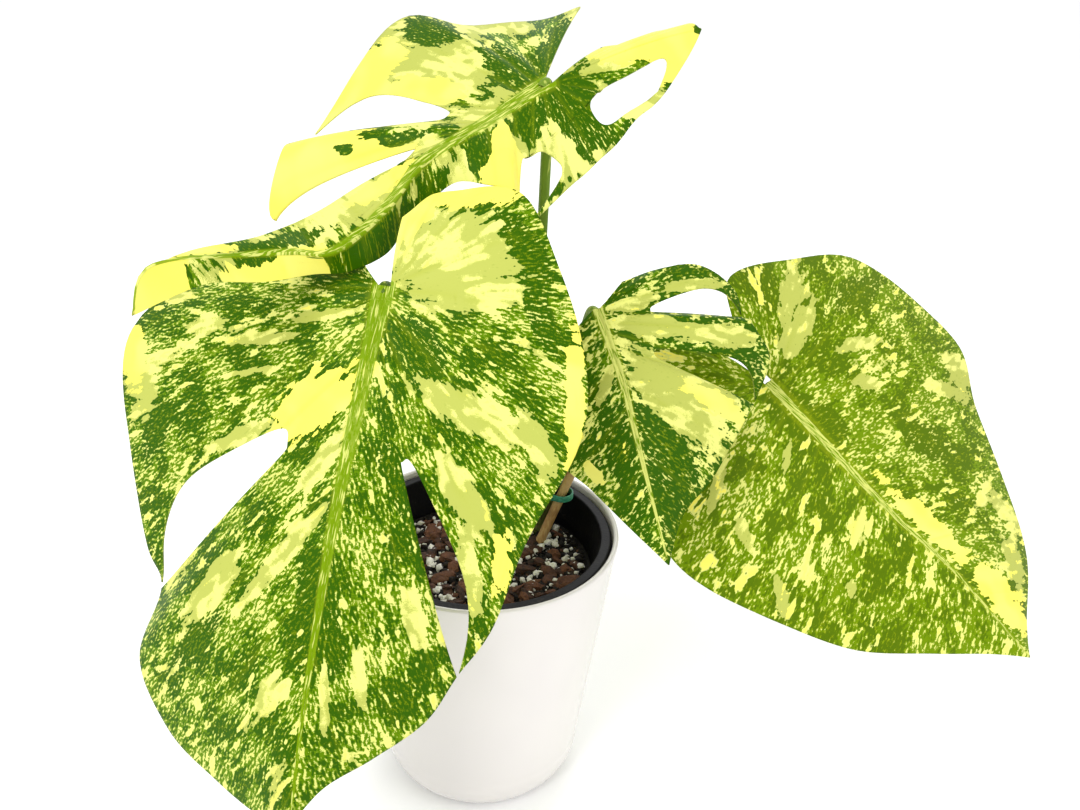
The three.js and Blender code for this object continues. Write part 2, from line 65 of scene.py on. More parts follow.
print("CAD nodes:", len(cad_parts), "box", [[round(v, 3) for v in c] for c in cad_box])

# %% [markdown]
# ## The camera
# The plant is looked at from a little above, at arm's length. The camera is
# put in first, so that every later step can be judged through it. Its place,
# its viewing direction and its upward direction are stated: a plain look-at
# would leave out the slight roll of a camera held in the hand.

# %% Camera
CAMERA_AT = Vector((0.0, -0.525, 0.520))
FORWARD = Vector((0.0503, 0.8849, -0.4631)).normalized()
UP_HINT = Vector((-0.0089, 0.4641, 0.8858))
right = FORWARD.cross(UP_HINT).normalized()
up = right.cross(FORWARD)

lens = bpy.data.cameras.new("camera")
lens.sensor_fit = "HORIZONTAL"
lens.sensor_width = 36.0
lens.lens = 36.67
lens.clip_start = 0.01
camera = bpy.data.objects.new("camera", lens)
bpy.context.scene.collection.objects.link(camera)
turn = Matrix((right, up, -FORWARD)).transposed()
camera.matrix_world = Matrix.Translation(CAMERA_AT) @ turn.to_4x4()
bpy.context.scene.camera = camera
print("camera height", CAMERA_AT.z, "m, looking down",
      round(math.degrees(math.asin(-FORWARD.z)), 1), "degrees")

# %% [markdown]
# ## Writing shader maths as plain expressions
# A material's pattern is arithmetic on sockets. A small class wraps a socket,
# so that `mask * 0.5 + noise` adds the Math nodes by itself, and one method
# adds any other node from its type, its settings and what goes into it.

# %% Shader helpers
class Wire:
    """A socket that arithmetic can be written with."""

    def __init__(self, board, socket):
        self.board = board
        self.socket = socket

    def math(self, operation, *values):
        return self.board.node("ShaderNodeMath", {"operation": operation}, values)

    def __add__(self, other):
        return self.math("ADD", self, other)

    def __radd__(self, other):
        return self.math("ADD", other, self)

    def __sub__(self, other):
        return self.math("SUBTRACT", self, other)

    def __rsub__(self, other):
        return self.math("SUBTRACT", other, self)

    def __mul__(self, other):
        return self.math("MULTIPLY", self, other)

    def __rmul__(self, other):
        return self.math("MULTIPLY", other, self)

    def __truediv__(self, other):
        return self.math("DIVIDE", self, other)

    def larger(self, other):
        return self.math("MAXIMUM", self, other)

    def smaller(self, other):
        return self.math("MINIMUM", self, other)


class Board:
    """A material's node tree, ready to be written on."""

    def __init__(self, name):
        self.material = bpy.data.materials.new(name)
        self.material.use_nodes = True
        self.tree = self.material.node_tree
        self.tree.nodes.clear()

    def node(self, kind, settings=None, inputs=(), output=0):
        """Add one node: its settings first, then its sockets' values or links."""
        made = self.tree.nodes.new(kind)
        for key, value in (settings or {}).items():
            if key == "stops":
                ramp = made.color_ramp.elements
                while len(ramp) < len(value):
                    ramp.new(0.5)
                for stop, (place, colour) in zip(ramp, value):
                    stop.position = place
                    stop.color = (*colour, 1.0)
            else:
                setattr(made, key, value)
        pairs = inputs.items() if isinstance(inputs, dict) else enumerate(inputs)
        for key, value in pairs:
            if isinstance(value, Wire):
                self.tree.links.new(value.socket, made.inputs[key])
            elif value is not None:
                made.inputs[key].default_value = value
        return Wire(self, made.outputs[output]) if made.outputs else None

    def object_place(self):
        return self.node("ShaderNodeTexCoord", output="Object")

    def uv(self, name):
        return self.node("ShaderNodeUVMap", {"uv_map": name})

    def stretch(self, vector, scale, shift=(0.0, 0.0, 0.0)):
        """Scale a pattern's coordinates, larger numbers make it finer."""
        return self.node("ShaderNodeMapping", {}, {"Vector": vector, "Scale": scale,
                                                   "Location": shift})

    def noise(self, vector, scale=1.0, detail=2.0, roughness=0.5, distortion=0.0):
        return self.node("ShaderNodeTexNoise", {"noise_dimensions": "3D"},
                         {"Vector": vector, "Scale": scale, "Detail": detail,
                          "Roughness": roughness, "Distortion": distortion})

    def step(self, value, edge, softness):
        """0 below the edge and 1 above it, smooth over twice the softness."""
        return self.node("ShaderNodeMapRange", {"interpolation_type": "SMOOTHSTEP"},
                         {"Value": value, "From Min": edge - softness,
                          "From Max": edge + softness, "To Min": 0.0, "To Max": 1.0})

    def mix(self, first, second, share):
        """Blend two colours, share 1 gives the second."""
        first = first if isinstance(first, Wire) else (*first, 1.0)
        second = second if isinstance(second, Wire) else (*second, 1.0)
        return self.node("ShaderNodeMix", {"data_type": "RGBA"},
                         {0: share, 6: first, 7: second}, output=2)

    def bump(self, height, distance, strength=1.0):
        return self.node("ShaderNodeBump", {}, {"Height": height, "Distance": distance,
                                                "Strength": strength})

    def surface(self, colour, roughness, normal=None, **constants):
        """Close the material with one Principled shader."""
        inputs = {"Base Color": colour if isinstance(colour, Wire) else (*colour, 1.0),
                  "Roughness": roughness, "Normal": normal}
        inputs.update({key.replace("_", " "): value for key, value in constants.items()})
        shader = self.node("ShaderNodeBsdfPrincipled", {}, inputs)
        self.node("ShaderNodeOutputMaterial", {}, {"Surface": shader})
        return self.material


def rgb(red, green, blue):
    """Linear colour from the usual 0..255 screen numbers."""
    screen = np.array([red, green, blue]) / 255.0
    linear = np.where(screen <= 0.04045, screen / 12.92, ((screen + 0.055) / 1.055) ** 2.4)
    return tuple(float(v) for v in linear)


# %% [markdown]
# ## From arrays to meshes
# Every new piece below ends as one array of points and one of faces. Points
# that fall on each other are welded by rounding them to a hundredth of a
# millimetre, which closes seams and poles, and faces that lose a corner that
# way are dropped.

# %% Mesh helpers
def grid_faces(rows, columns, first=0):
    """Triangles of a rows x columns grid of points, numbered row by row."""
    r, c = np.meshgrid(np.arange(rows - 1), np.arange(columns - 1), indexing="ij")
    a = (r * columns + c).ravel() + first
    b = a + 1
    d = a + columns
    e = d + 1
    return np.concatenate([np.stack([a, b, e], 1), np.stack([a, e, d], 1)])


def weld(points, triangles):
    """Welded points, the triangles on them, then the old numbers of the
    triangles' corners and of the points."""
    keys = np.round(points / (0.01 * MM)).astype(np.int64)
    _, first, lookup = np.unique(keys, axis=0, return_index=True, return_inverse=True)
    lookup = lookup.ravel()
    welded = lookup[triangles]
    whole = ((welded[:, 0] != welded[:, 1]) & (welded[:, 1] != welded[:, 2])
             & (welded[:, 2] != welded[:, 0]))
    return points[first], welded[whole], triangles[whole], first


def put(name, points, triangles, materials, slot, replaces=(), uvs=None, paint=None,
        smooth=True, corners=None):
    """Make one piece of the plant and let it ride with the CAD model."""
    mesh = bpy.data.meshes.new(name)
    mesh.vertices.add(len(points))
    mesh.vertices.foreach_set("co", np.asarray(points, np.float32).ravel())
    mesh.loops.add(triangles.size)
    mesh.loops.foreach_set("vertex_index", triangles.astype(np.int32).ravel())
    mesh.polygons.add(len(triangles))
    mesh.polygons.foreach_set("loop_start", np.arange(0, triangles.size, 3, dtype=np.int32))
    mesh.polygons.foreach_set("use_smooth", np.full(len(triangles), smooth))
    mesh.update(calc_edges=True)
    corners = triangles if corners is None else corners
    for uv_name, values in (uvs or {}).items():
        layer = mesh.uv_layers.new(name=uv_name)
        layer.data.foreach_set("uv", values[corners.ravel()].astype(np.float32).ravel())
    if paint is not None:
        layer = mesh.color_attributes.new("paint", "FLOAT_COLOR", "POINT")
        layer.data.foreach_set("color", paint.astype(np.float32).ravel())
    for material in materials:
        mesh.materials.append(material)
    mesh.validate()
    piece = bpy.data.objects.new(name, mesh)
    bpy.context.scene.collection.objects.link(piece)
    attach(piece, "root")
    if replaces:
        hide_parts(*replaces)
    return piece

# %% [markdown]
# ## The shape of a monstera leaf
# A leaf blade hangs from its petiole at one joint. A thick midrib runs from
# the joint to the tip, and side veins leave it on both halves, the first ones
# fanning back round the joint into the two basal lobes. Where two side veins
# part, the blade is split from the margin inwards.
#
# A box-modelled plane with cuts would not keep the streaks in line with the
# veins. Here each half is a surface of two parameters: the row number counts
# the side veins from the base to the tip, and `out` goes from the midrib (0)
# to the margin (1). A lobe is a stretch of rows between two splits. The same
# sizes as in the CAD model are used, with many more steps.

# %% Sizes of the four leaves
# joint: mm from the pot's axis and above the mix. length: mm. The rest is in
# percent of the length and in degrees. midrib rows: along, across, rise. vein
# rows: station on the midrib, then across, along and rise of the vein's outer
# end. splits: the row where a cut meets the margin, how many rows later it
# starts, where it starts, and how far each side opens and shuts again.
LEAVES = [
  {
    "name": "leaf_front", "length": 240,
    "joint": [-45, -64, 197], "azimuth": 252, "dip": 59, "roll": 0, "arch": 3,
    "midrib": [[0, 0, 0], [20, 0, 2], [44, 0, 4], [77, 0, 3], [100, 0, 0]],
    "halves": [
      {
        "side": 1,
        "veins": [
          [0, 7, -5, -4], [0, 25, -6, -10], [0, 46, 1, -14], [0.02, 60, 16, -14],
          [0.06, 55, 38, -14], [0.11, 48, 58, -16], [0.17, 43, 66, -16], [0.3, 44, 80, -14],
          [0.45, 34, 92, -12], [0.62, 20, 98, -8], [0.82, 8, 101, -4], [1, 0, 100, 0],
        ],
        "splits": [
          { "vein": 6, "swerve": 0.1, "start": 0.3, "before": [1.55, 0.93], "after": [0.1, 0.93] },
        ],
      },
      {
        "side": -1,
        "veins": [
          [0, -1.3, -13, 0], [0, -5, -17.5, -1], [0, -10, -19.7, -2], [0, -22, -21, -4],
          [0, -31, -8, -7], [0.02, -38, 8, -10], [0.04, -39, 23, -12], [0.07, -32, 42, -13],
          [0.1, -28, 60, -13], [0.13, -23, 70, -12], [0.34, -19, 79, -10],
          [0.55, -11, 87, -7], [0.8, -4, 93, -3], [1, 0, 100, 0],
        ],
        "splits": [
          { "vein": 9, "swerve": -0.15, "start": 0.36, "before": [1.05, 0.93],
            "after": [0.05, 0.93] },
        ],
      },
    ],
  },
  {
    "name": "leaf_top", "length": 213,
    "joint": [29, 10, 273], "azimuth": 216, "dip": 14, "roll": -15, "arch": 2,
    "midrib": [
      [0, 0, 0], [17, 0, -3], [34, 0, -5], [47, -3, -10], [62, -6, -12], [70, -3, -10],
      [79, 0, -8], [97, 0, -1], [103, 0, -10],
    ],
    "halves": [
      {
        "side": 1,
        "veins": [
          [0, 20, -27, 0], [0, 26, -15, -2], [0.02, 38, -4, -4], [0.05, 53, 3, -6],
          [0.1, 50, 19, -12], [0.17, 47, 36, -24], [0.21, 31, 52, -12], [0.25, 24, 60, -24],
          [0.36, 5, 38, -8], [0.46, 9, 46, -12], [0.56, 7, 57, -12], [0.7, 5, 72, -10],
          [0.88, 4, 91, -5], [1, 0, 103, -10],
        ],
        "splits": [
          { "vein": 5, "swerve": 0, "start": 0.2, "before": [0.7, 0.93], "after": [0.6, 0.93] },
          { "vein": 7, "swerve": 0, "start": 0.2, "before": [0.3, 0.93], "after": [1, 0] },
        ],
      },
      {
        "side": -1,
        "veins": [
          [0, 1.4, -17.2, 1], [0, -1.8, -26.2, 2], [0, -5, -35.9, 3],
          [0, -8, -39, 3], [0, -9, -38, 1], [0, -15, -23, -4], [0, -17, -12, -6],
          [0, -18, -3, -10], [0.02, -19, 6, -12], [0.05, -21, 18, -14], [0.08, -21, 25, -16],
          [0.14, -18, 25, -8], [0.22, -11.5, 28.5, -8], [0.3, -5.5, 31.6, -10], [0.38, -4, 42, -16],
          [0.48, -6, 50, -19], [0.58, -6, 59, -19], [0.66, -4, 67, -17], [0.76, -4, 78, -13],
          [0.88, -3, 89, -8], [1, 0, 103, -10],
        ],
        "splits": [
          { "vein": 5, "swerve": 0.7, "start": 0.48, "before": [1.15, 2.2], "after": [1.7, 2.2] },
          { "vein": 10, "swerve": 0, "start": 0.5, "before": [1.9, 0.93], "after": [0.3, 0] },
        ],
      },
    ],
  },
  {
    "name": "leaf_middle", "length": 132,
    "joint": [56, -15, 167], "azimuth": 297, "dip": 54, "roll": 10, "arch": 3,
    "midrib": [[0, 0, 0], [29, 0, 5], [55, 0, 3], [100, 0, 0]],
    "halves": [
      {
        "side": 1,
        "veins": [
          [0, 4.5, 4, -1], [0, 13.5, 8, -3], [0.05, 22, 16, -6], [0.15, 28, 36, -8],
          [0.3, 28, 52, -8], [0.5, 19, 66, -7], [0.75, 9, 84, -4], [1, 0, 100, 0],
        ],
        "splits": [],
      },
      {
        "side": -1,
        "veins": [
          [0, -13, -8, -1], [0, -29, -10, -2], [0, -48, -9, -5], [0, -63, 3, -10],
          [0.03, -66, 14, -16], [0.06, -65, 18, -8], [0.1, -73, 33, -16], [0.14, -64, 49, -22],
          [0.2, -58, 52, -16], [0.45, -32, 74, -12], [0.7, -14, 84, -7], [1, 0, 100, 0],
        ],
        "splits": [
          { "vein": 4, "swerve": 0, "start": 0.31, "before": [1.4, 0.93], "after": [0.2, 0.93] },
          { "vein": 7, "swerve": 0, "start": 0.26, "before": [0.9, 0.93], "after": [0.5, 0] },
        ],
      },
    ],
  },
  {
    "name": "leaf_right", "length": 212,
    "joint": [162, 33, 103], "azimuth": 329, "dip": 37, "roll": 30, "arch": 3,
    "midrib": [[0, 0, 0], [20, 2, 3], [46, 2, 3], [69, 1, 4], [100, 0, 0]],
    "halves": [
      {
        "side": 1,
        "veins": [
          [0, 2.5, -13, -3], [0, 5, -21, -5], [0, 12.5, -28, -7], [0, 19, -24, -7],
          [0, 25, -14, -6], [0, 33, -6, -5], [0.02, 46, 3, -6],
          [0.06, 52, 14, -8], [0.14, 50, 28, -9], [0.28, 41, 48, -11], [0.46, 31, 67, -10],
          [0.66, 17, 82, -6], [0.84, 7, 92, -2], [1, 0, 100, 0],
        ],
        "splits": [],
      },
      {
        "side": -1,
        "veins": [
          [0, -0.8, -9, -2], [0, -6, -17, -3], [0, -17, -28, -4], [0, -37, -20, -6],
          [0.02, -56, -8, -10], [0.08, -63, 11, -12], [0.2, -65, 34, -14], [0.34, -53, 50, -13],
          [0.5, -41, 69, -11], [0.68, -27, 86, -8], [0.86, -9, 95, -3], [1, 0, 100, 0],
        ],
        "splits": [],
      },
    ],
  },
]
SOIL_TOP = 141.0  # mm above the floor
THICKNESS = 0.8  # mm
MIDRIB_HALF_WIDTH = 1.2  # percent of the length, at the joint
ROW_STEPS = 84
STEPS_PER_VEIN = 11
LEAST_STEP = 0.0035  # closest that two columns may be at the midrib
print(len(LEAVES), "leaves, lengths", [leaf["length"] for leaf in LEAVES], "mm")


# %% Midrib and blade
def leaf_axes(leaf):
    """Unit vectors across, along and out of the upper face of a leaf: along
    points down by the dip and round by the azimuth, the face is then rolled."""
    azimuth, dip, roll = (math.radians(leaf[key]) for key in ("azimuth", "dip", "roll"))
    heading = np.array([math.cos(azimuth), math.sin(azimuth), 0.0])
    along = heading * math.cos(dip) + np.array([0, 0, -math.sin(dip)])
    level = heading * math.sin(dip) + np.array([0, 0, math.cos(dip)])
    face = level * math.cos(roll) + np.cross(along, level) * math.sin(roll)
    return np.cross(along, face), along, face


def smooth_rows(rows, at):
    """Catmull-Rom curve through a table's rows, read at fractional row numbers:
    half of 2b + (c-a)t + (2a-5b+4c-d)t^2 + (3b-a-3c+d)t^3."""
    rows = np.asarray(rows, float)
    i = np.clip(np.floor(at).astype(int), 0, len(rows) - 2)
    t = (at - i)[..., None]
    a, b = rows[np.maximum(i - 1, 0)], rows[i]
    c, d = rows[i + 1], rows[np.minimum(i + 2, len(rows) - 1)]
    return 0.5 * (2 * b + (c - a) * t + (2 * a - 5 * b + 4 * c - d) * t ** 2
                  + (3 * b - a - 3 * c + d) * t ** 3)


def midrib_points(leaf, station):
    """(across, along, rise) of the midrib at shares 0..1 of its reach."""
    rows = np.asarray(leaf["midrib"], float)
    at = np.interp(station * rows[-1, 0], rows[:, 0], np.arange(len(rows)))
    return smooth_rows(rows, at)[..., [1, 0, 2]]


def blade_points(leaf, half, row, out):
    """A point goes straight from its place on the midrib to its place on the
    margin, and bulges out of the face by a parabola on the way."""
    veins = np.asarray(half["veins"], float)
    station = np.interp(row, np.arange(len(veins)), veins[:, 0])
    root = midrib_points(leaf, station)
    root[..., 0] += half["side"] * MIDRIB_HALF_WIDTH * (1 - station)
    margin = smooth_rows(veins[:, 1:], row)
    bulge = 4 * out * (1 - out) * np.hypot(margin[..., 0], margin[..., 1] - root[..., 1]) / 50
    points = root + (margin - root) * out[..., None]
    points[..., 2] += bulge * leaf["arch"]
    return points


# %% [markdown]
# ## Splits, and how finely the blade is divided
# A split is two edges that part from one inner end. Each lobe between two
# splits is a grid of its own, whose columns run from the midrib to the margin.
# More rows of points are spent where the splits begin, because their ends are
# the roundest part of the outline. Cutting the splits out with a boolean would
# leave ragged triangles where the outline should be smooth.

# %% Splits and divisions
def split_root(split):
    """Row number of a split's inner end."""
    return split["vein"] + split["swerve"]


def split_edge(split, side, out):
    """Row number at one edge of a split: its row, plus an opening that grows
    fast from the inner end (travel^0.3) and shuts by a sixth power."""
    travel = np.clip((out - split["start"]) / (1 - split["start"]), 0, None)
    width, shut = split[side]
    opening = np.clip(width * travel ** 0.3 * (1 - shut * travel ** 6), 0, None)
    lean = split["vein"] + split["swerve"] * (1 - travel)
    return lean + opening if side == "after" else lean - opening


def out_steps(half, count):
    """Shares of the way out, packed closer where the splits begin."""
    even = np.linspace(0, 1, count)
    density = np.ones(count)
    for split in half["splits"]:
        density += 2.5 * np.exp(-((even - split["start"] - 0.015) / 0.035) ** 2)
    total = np.concatenate([[0], np.cumsum((density[1:] + density[:-1]) / 2)])
    return np.interp(np.linspace(0, total[-1], count), total, even)


def half_rows(half, stations):
    """Row numbers of a half's columns: the basal fan, then one per station."""
    veins = np.asarray(half["veins"], float)
    numbers = np.arange(len(veins))
    fan_end = int(np.max(numbers[veins[:, 0] <= 0]))
    fan = np.linspace(0, fan_end, fan_end * STEPS_PER_VEIN + 1)
    starts = [split_root(split) for split in half["splits"]]
    fan = np.unique(np.concatenate([fan, [q for q in starts if q < fan_end]]))
    return np.concatenate([fan, np.interp(stations, veins[fan_end:, 0], numbers[fan_end:])])


def shared_stations(leaf):
    """Stations of the columns of both halves together, so that the two halves
    meet the strip of the midrib point by point."""
    found = []
    for half in leaf["halves"]:
        veins = np.asarray(half["veins"], float)
        numbers = np.arange(len(veins))
        fine = np.linspace(0, len(veins) - 1, (len(veins) - 1) * STEPS_PER_VEIN + 1)
        starts = [split_root(split) for split in half["splits"]]
        found.append(np.interp(np.concatenate([fine, starts]), numbers, veins[:, 0]))
    together = np.unique(np.round(np.concatenate(found), 5))
    together = together[together > 0]
    kept = [together[0]]
    needed = np.round(np.concatenate([[1.0]] + [
        np.interp([split_root(split) for split in half["splits"]],
                  np.arange(len(half["veins"])), np.asarray(half["veins"], float)[:, 0])
        for half in leaf["halves"]]), 5)
    for value in together[1:]:
        if value in needed or value - kept[-1] > LEAST_STEP:
            kept.append(value)
    return np.array(kept)


def lobe_rows(half, rows, out):
    """For each lobe between two splits: which columns it takes, and the row
    number of every point, spread evenly from its lower to its upper edge."""
    last = len(half["veins"]) - 1
    bounds = [None, *half["splits"], None]
    for low, high in zip(bounds[:-1], bounds[1:]):
        low_row = split_root(low) if low else 0.0
        high_row = split_root(high) if high else float(last)
        inside = (rows >= low_row - 1e-3) & (rows <= high_row + 1e-3)
        share = np.clip((rows[inside] - low_row) / (high_row - low_row), 0, 1)
        share[0], share[-1] = 0.0, 1.0
        start = split_edge(low, "after", out) if low else np.zeros_like(out)
        stop = split_edge(high, "before", out) if high else np.full_like(out, last)
        yield inside, start[:, None] * (1 - share) + stop[:, None] * share


# %% [markdown]
# ## Veins, swelling and painted sectors
# A real blade is quilted: it sinks along the side veins, rises between them
# and waves at its margin. This is added to the rise of the points, so that
# light catches it, and not left to a bump texture alone. The large pale and
# dark sectors are soft ellipses that are stored as an attribute.

# %% Relief and sectors
SWELL = 0.7  # mm, between two side veins
VEIN_GROOVE = 0.45  # mm
MARGIN_WAVE = 0.7  # mm
RIB_GROOVE = 0.9  # mm, over the midrib at the joint


def groove_depth(station):
    """Depth in mm of the groove over the midrib, a fifth of it at the tip."""
    return RIB_GROOVE * (1 - 0.8 * station)


def relief_mm(leaf, half, row, out):
    """Fine shape of the upper face in millimetres, and the mask of its veins.
    The main side veins run at half row numbers and lie in grooves, the blade
    swells a little between them, and the margin waves gently."""
    last = len(half["veins"]) - 1
    beside = (blade_points(leaf, half, np.clip(row + 0.5, 0, last), out)
              - blade_points(leaf, half, np.clip(row - 0.5, 0, last), out))
    spacing = np.linalg.norm(beside, axis=-1) * leaf["length"] / 100
    offset = row - np.floor(row) - 0.5
    room = np.clip(spacing / 9, 0, 1)
    vein = np.exp(-(offset * spacing / 1.0) ** 2) * room * (1 - 0.75 * out)
    rest = np.clip(out / 0.05, 0, 1)
    swell = np.sin(math.pi * np.abs(offset)) ** 2 * room * 4 * out * (1 - out)
    wave = np.sin(2 * math.pi * (0.83 * row + 0.2)) * out ** 4 * (1 - row / last)
    return rest * (SWELL * swell - VEIN_GROOVE * vein + MARGIN_WAVE * wave), rest * vein


def vein_direction(leaf, half, row):
    """Unit direction of the side vein on the leaf: margin minus root. At the
    tip, where the two meet, it is the leaf's own direction."""
    aim = (blade_points(leaf, half, row, np.ones_like(row))
           - blade_points(leaf, half, row, np.zeros_like(row)))[..., :2]
    size = np.linalg.norm(aim, axis=-1, keepdims=True)
    return np.where(size > 1e-6, aim / np.maximum(size, 1e-6), [0.0, 1.0])


def blob_field(place, blobs):
    """1 inside half an ellipse's size, 0 from one and a half times its size, and
    straight in between. A blob is across, along, half width, half length and
    turn in degrees."""
    field = np.zeros(len(place))
    for across, along, wide, long, turn_by in blobs:
        angle = math.radians(turn_by)
        dx, dy = place[:, 0] - across, place[:, 1] - along
        x = (dx * math.cos(angle) + dy * math.sin(angle)) / wide
        y = (dy * math.cos(angle) - dx * math.sin(angle)) / long
        field = np.maximum(field, np.clip(1.5 - np.hypot(x, y), 0, 1))
    return field


# %% [markdown]
# ## A leaf's middle sheet
# The strip over the midrib and the lobes of both halves are put together and
# welded. Three things are kept at each point for the material: its place on
# the leaf, the direction of the side vein, and the paint, which holds the
# sectors and the veins.

# %% Leaf sheet
STRIP_LANES = 9
RIB_MASK = 1.6  # the vein mask on the midrib, 0.5 is the most on a side vein


def leaf_sheet(leaf, paint_by):
    """Points in metres, triangles, corners, UV maps and paint of one leaf."""
    across, along, face = leaf_axes(leaf)
    stations = shared_stations(leaf)
    strip_stations = np.concatenate([[0.0], stations])
    lanes = np.linspace(-1, 1, STRIP_LANES)
    rib = midrib_points(leaf, strip_stations)
    width = MIDRIB_HALF_WIDTH * (1 - strip_stations)
    strip = np.repeat(rib[:, None, :], len(lanes), axis=1)
    strip[..., 0] += lanes * width[:, None]
    groove = np.cos(lanes * math.pi / 2) ** 2
    strip[..., 2] -= groove * groove_depth(strip_stations)[:, None] * 100 / leaf["length"]

    points = [strip.reshape(-1, 3)]
    triangles = [grid_faces(len(strip_stations), len(lanes))]
    flow = [np.tile([0.0, 1.0], (strip.size // 3, 1))]
    vein_mask = [np.full(strip.size // 3, RIB_MASK)]
    used = strip.size // 3
    for half in leaf["halves"]:
        rows = half_rows(half, stations)
        fan = len(rows) - len(stations)
        station_of = np.concatenate([np.zeros(fan, int), np.arange(1, len(stations) + 1)])
        edge = strip[:, -1] if half["side"] > 0 else strip[:, 0]
        out = out_steps(half, ROW_STEPS)
        last = len(half["veins"]) - 1
        for inside, row in lobe_rows(half, rows, out):
            outs = np.repeat(out[:, None], row.shape[1], axis=1)
            lobe = blade_points(leaf, half, row, outs)
            relief, vein = relief_mm(leaf, half, row, outs)
            lobe[..., 2] += relief * 100 / leaf["length"]
            lobe[0] = edge[station_of[inside]]
            reach = np.linalg.norm(lobe - lobe[:1], axis=-1) * leaf["length"] / 1000
            station = np.interp(row, np.arange(last + 1), np.asarray(half["veins"])[:, 0])
            rib_width = leaf["length"] / 750 * (1 - 0.8 * station)
            vein = np.maximum(0.5 * vein, RIB_MASK - reach / rib_width)
            points.append(lobe.reshape(-1, 3))
            faces = grid_faces(*row.shape, first=used)
            triangles.append(faces[:, ::-1] if half["side"] > 0 else faces)
            flow.append(vein_direction(leaf, half, row).reshape(-1, 2))
            vein_mask.append(vein.ravel())
            used += row.size
    local = np.concatenate(points)
    corners = np.concatenate(triangles)
    scale = leaf["length"] / 100
    joint = np.array(leaf["joint"]) + [0, 0, SOIL_TOP]
    world = (joint + scale * (local @ np.stack([across, along, face]))) * MM
    welded, faces, corners, first = weld(world, corners)
    place = local[first]
    paint = np.stack([blob_field(place, paint_by[key]) for key in ("yellow", "sage", "dark")]
                     + [np.concatenate(vein_mask)[first]], 1)
    uvs = {"place": local[:, :2] * scale / 10, "flow": np.concatenate(flow)}
    return welded, faces, corners, uvs, paint


def open_edges(triangles):
    """Number of edges that only one triangle uses, and that more than two use."""
    pairs = np.sort(np.concatenate([triangles[:, [0, 1]], triangles[:, [1, 2]],
                                    triangles[:, [2, 0]]]), axis=1)
    _, counts = np.unique(pairs, axis=0, return_counts=True)
    return int((counts == 1).sum()), int((counts > 2).sum())

# %% [markdown]
# ## Variegation
# The blade of this plant is green where the pigment is complete, sage where
# it is thin, and cream to yellow where it is missing. The cells are laid down
# along the side veins, which gives streaks with serrated ends and a scatter of
# fine specks.
#
# An even noise would not follow the veins. Two UV maps are kept on every
# leaf: "place" (centimetres across and along the leaf) and "flow" (the
# direction of the side vein there). Noise is read at a few places along the
# flow and averaged, which draws it out into streaks that are equally dense all
# over the leaf. The large sectors are blobs painted into an attribute.

# %% Leaf material
DARK_GREEN = rgb(50, 92, 0)
MID_GREEN = rgb(92, 130, 0)
GOLD_GREEN = rgb(164, 176, 20)
SAGE = rgb(184, 191, 90)
CREAM = rgb(232, 234, 128)
YELLOW = rgb(252, 240, 100)
RIB_GREEN = rgb(120, 152, 6)
UNDER_GREEN = rgb(206, 212, 112)
LEAF_SHARE = 0.82


def dim(colour):
    """The same colour, darker by the share, as the studio light is bright."""
    return tuple(c * LEAF_SHARE for c in colour)


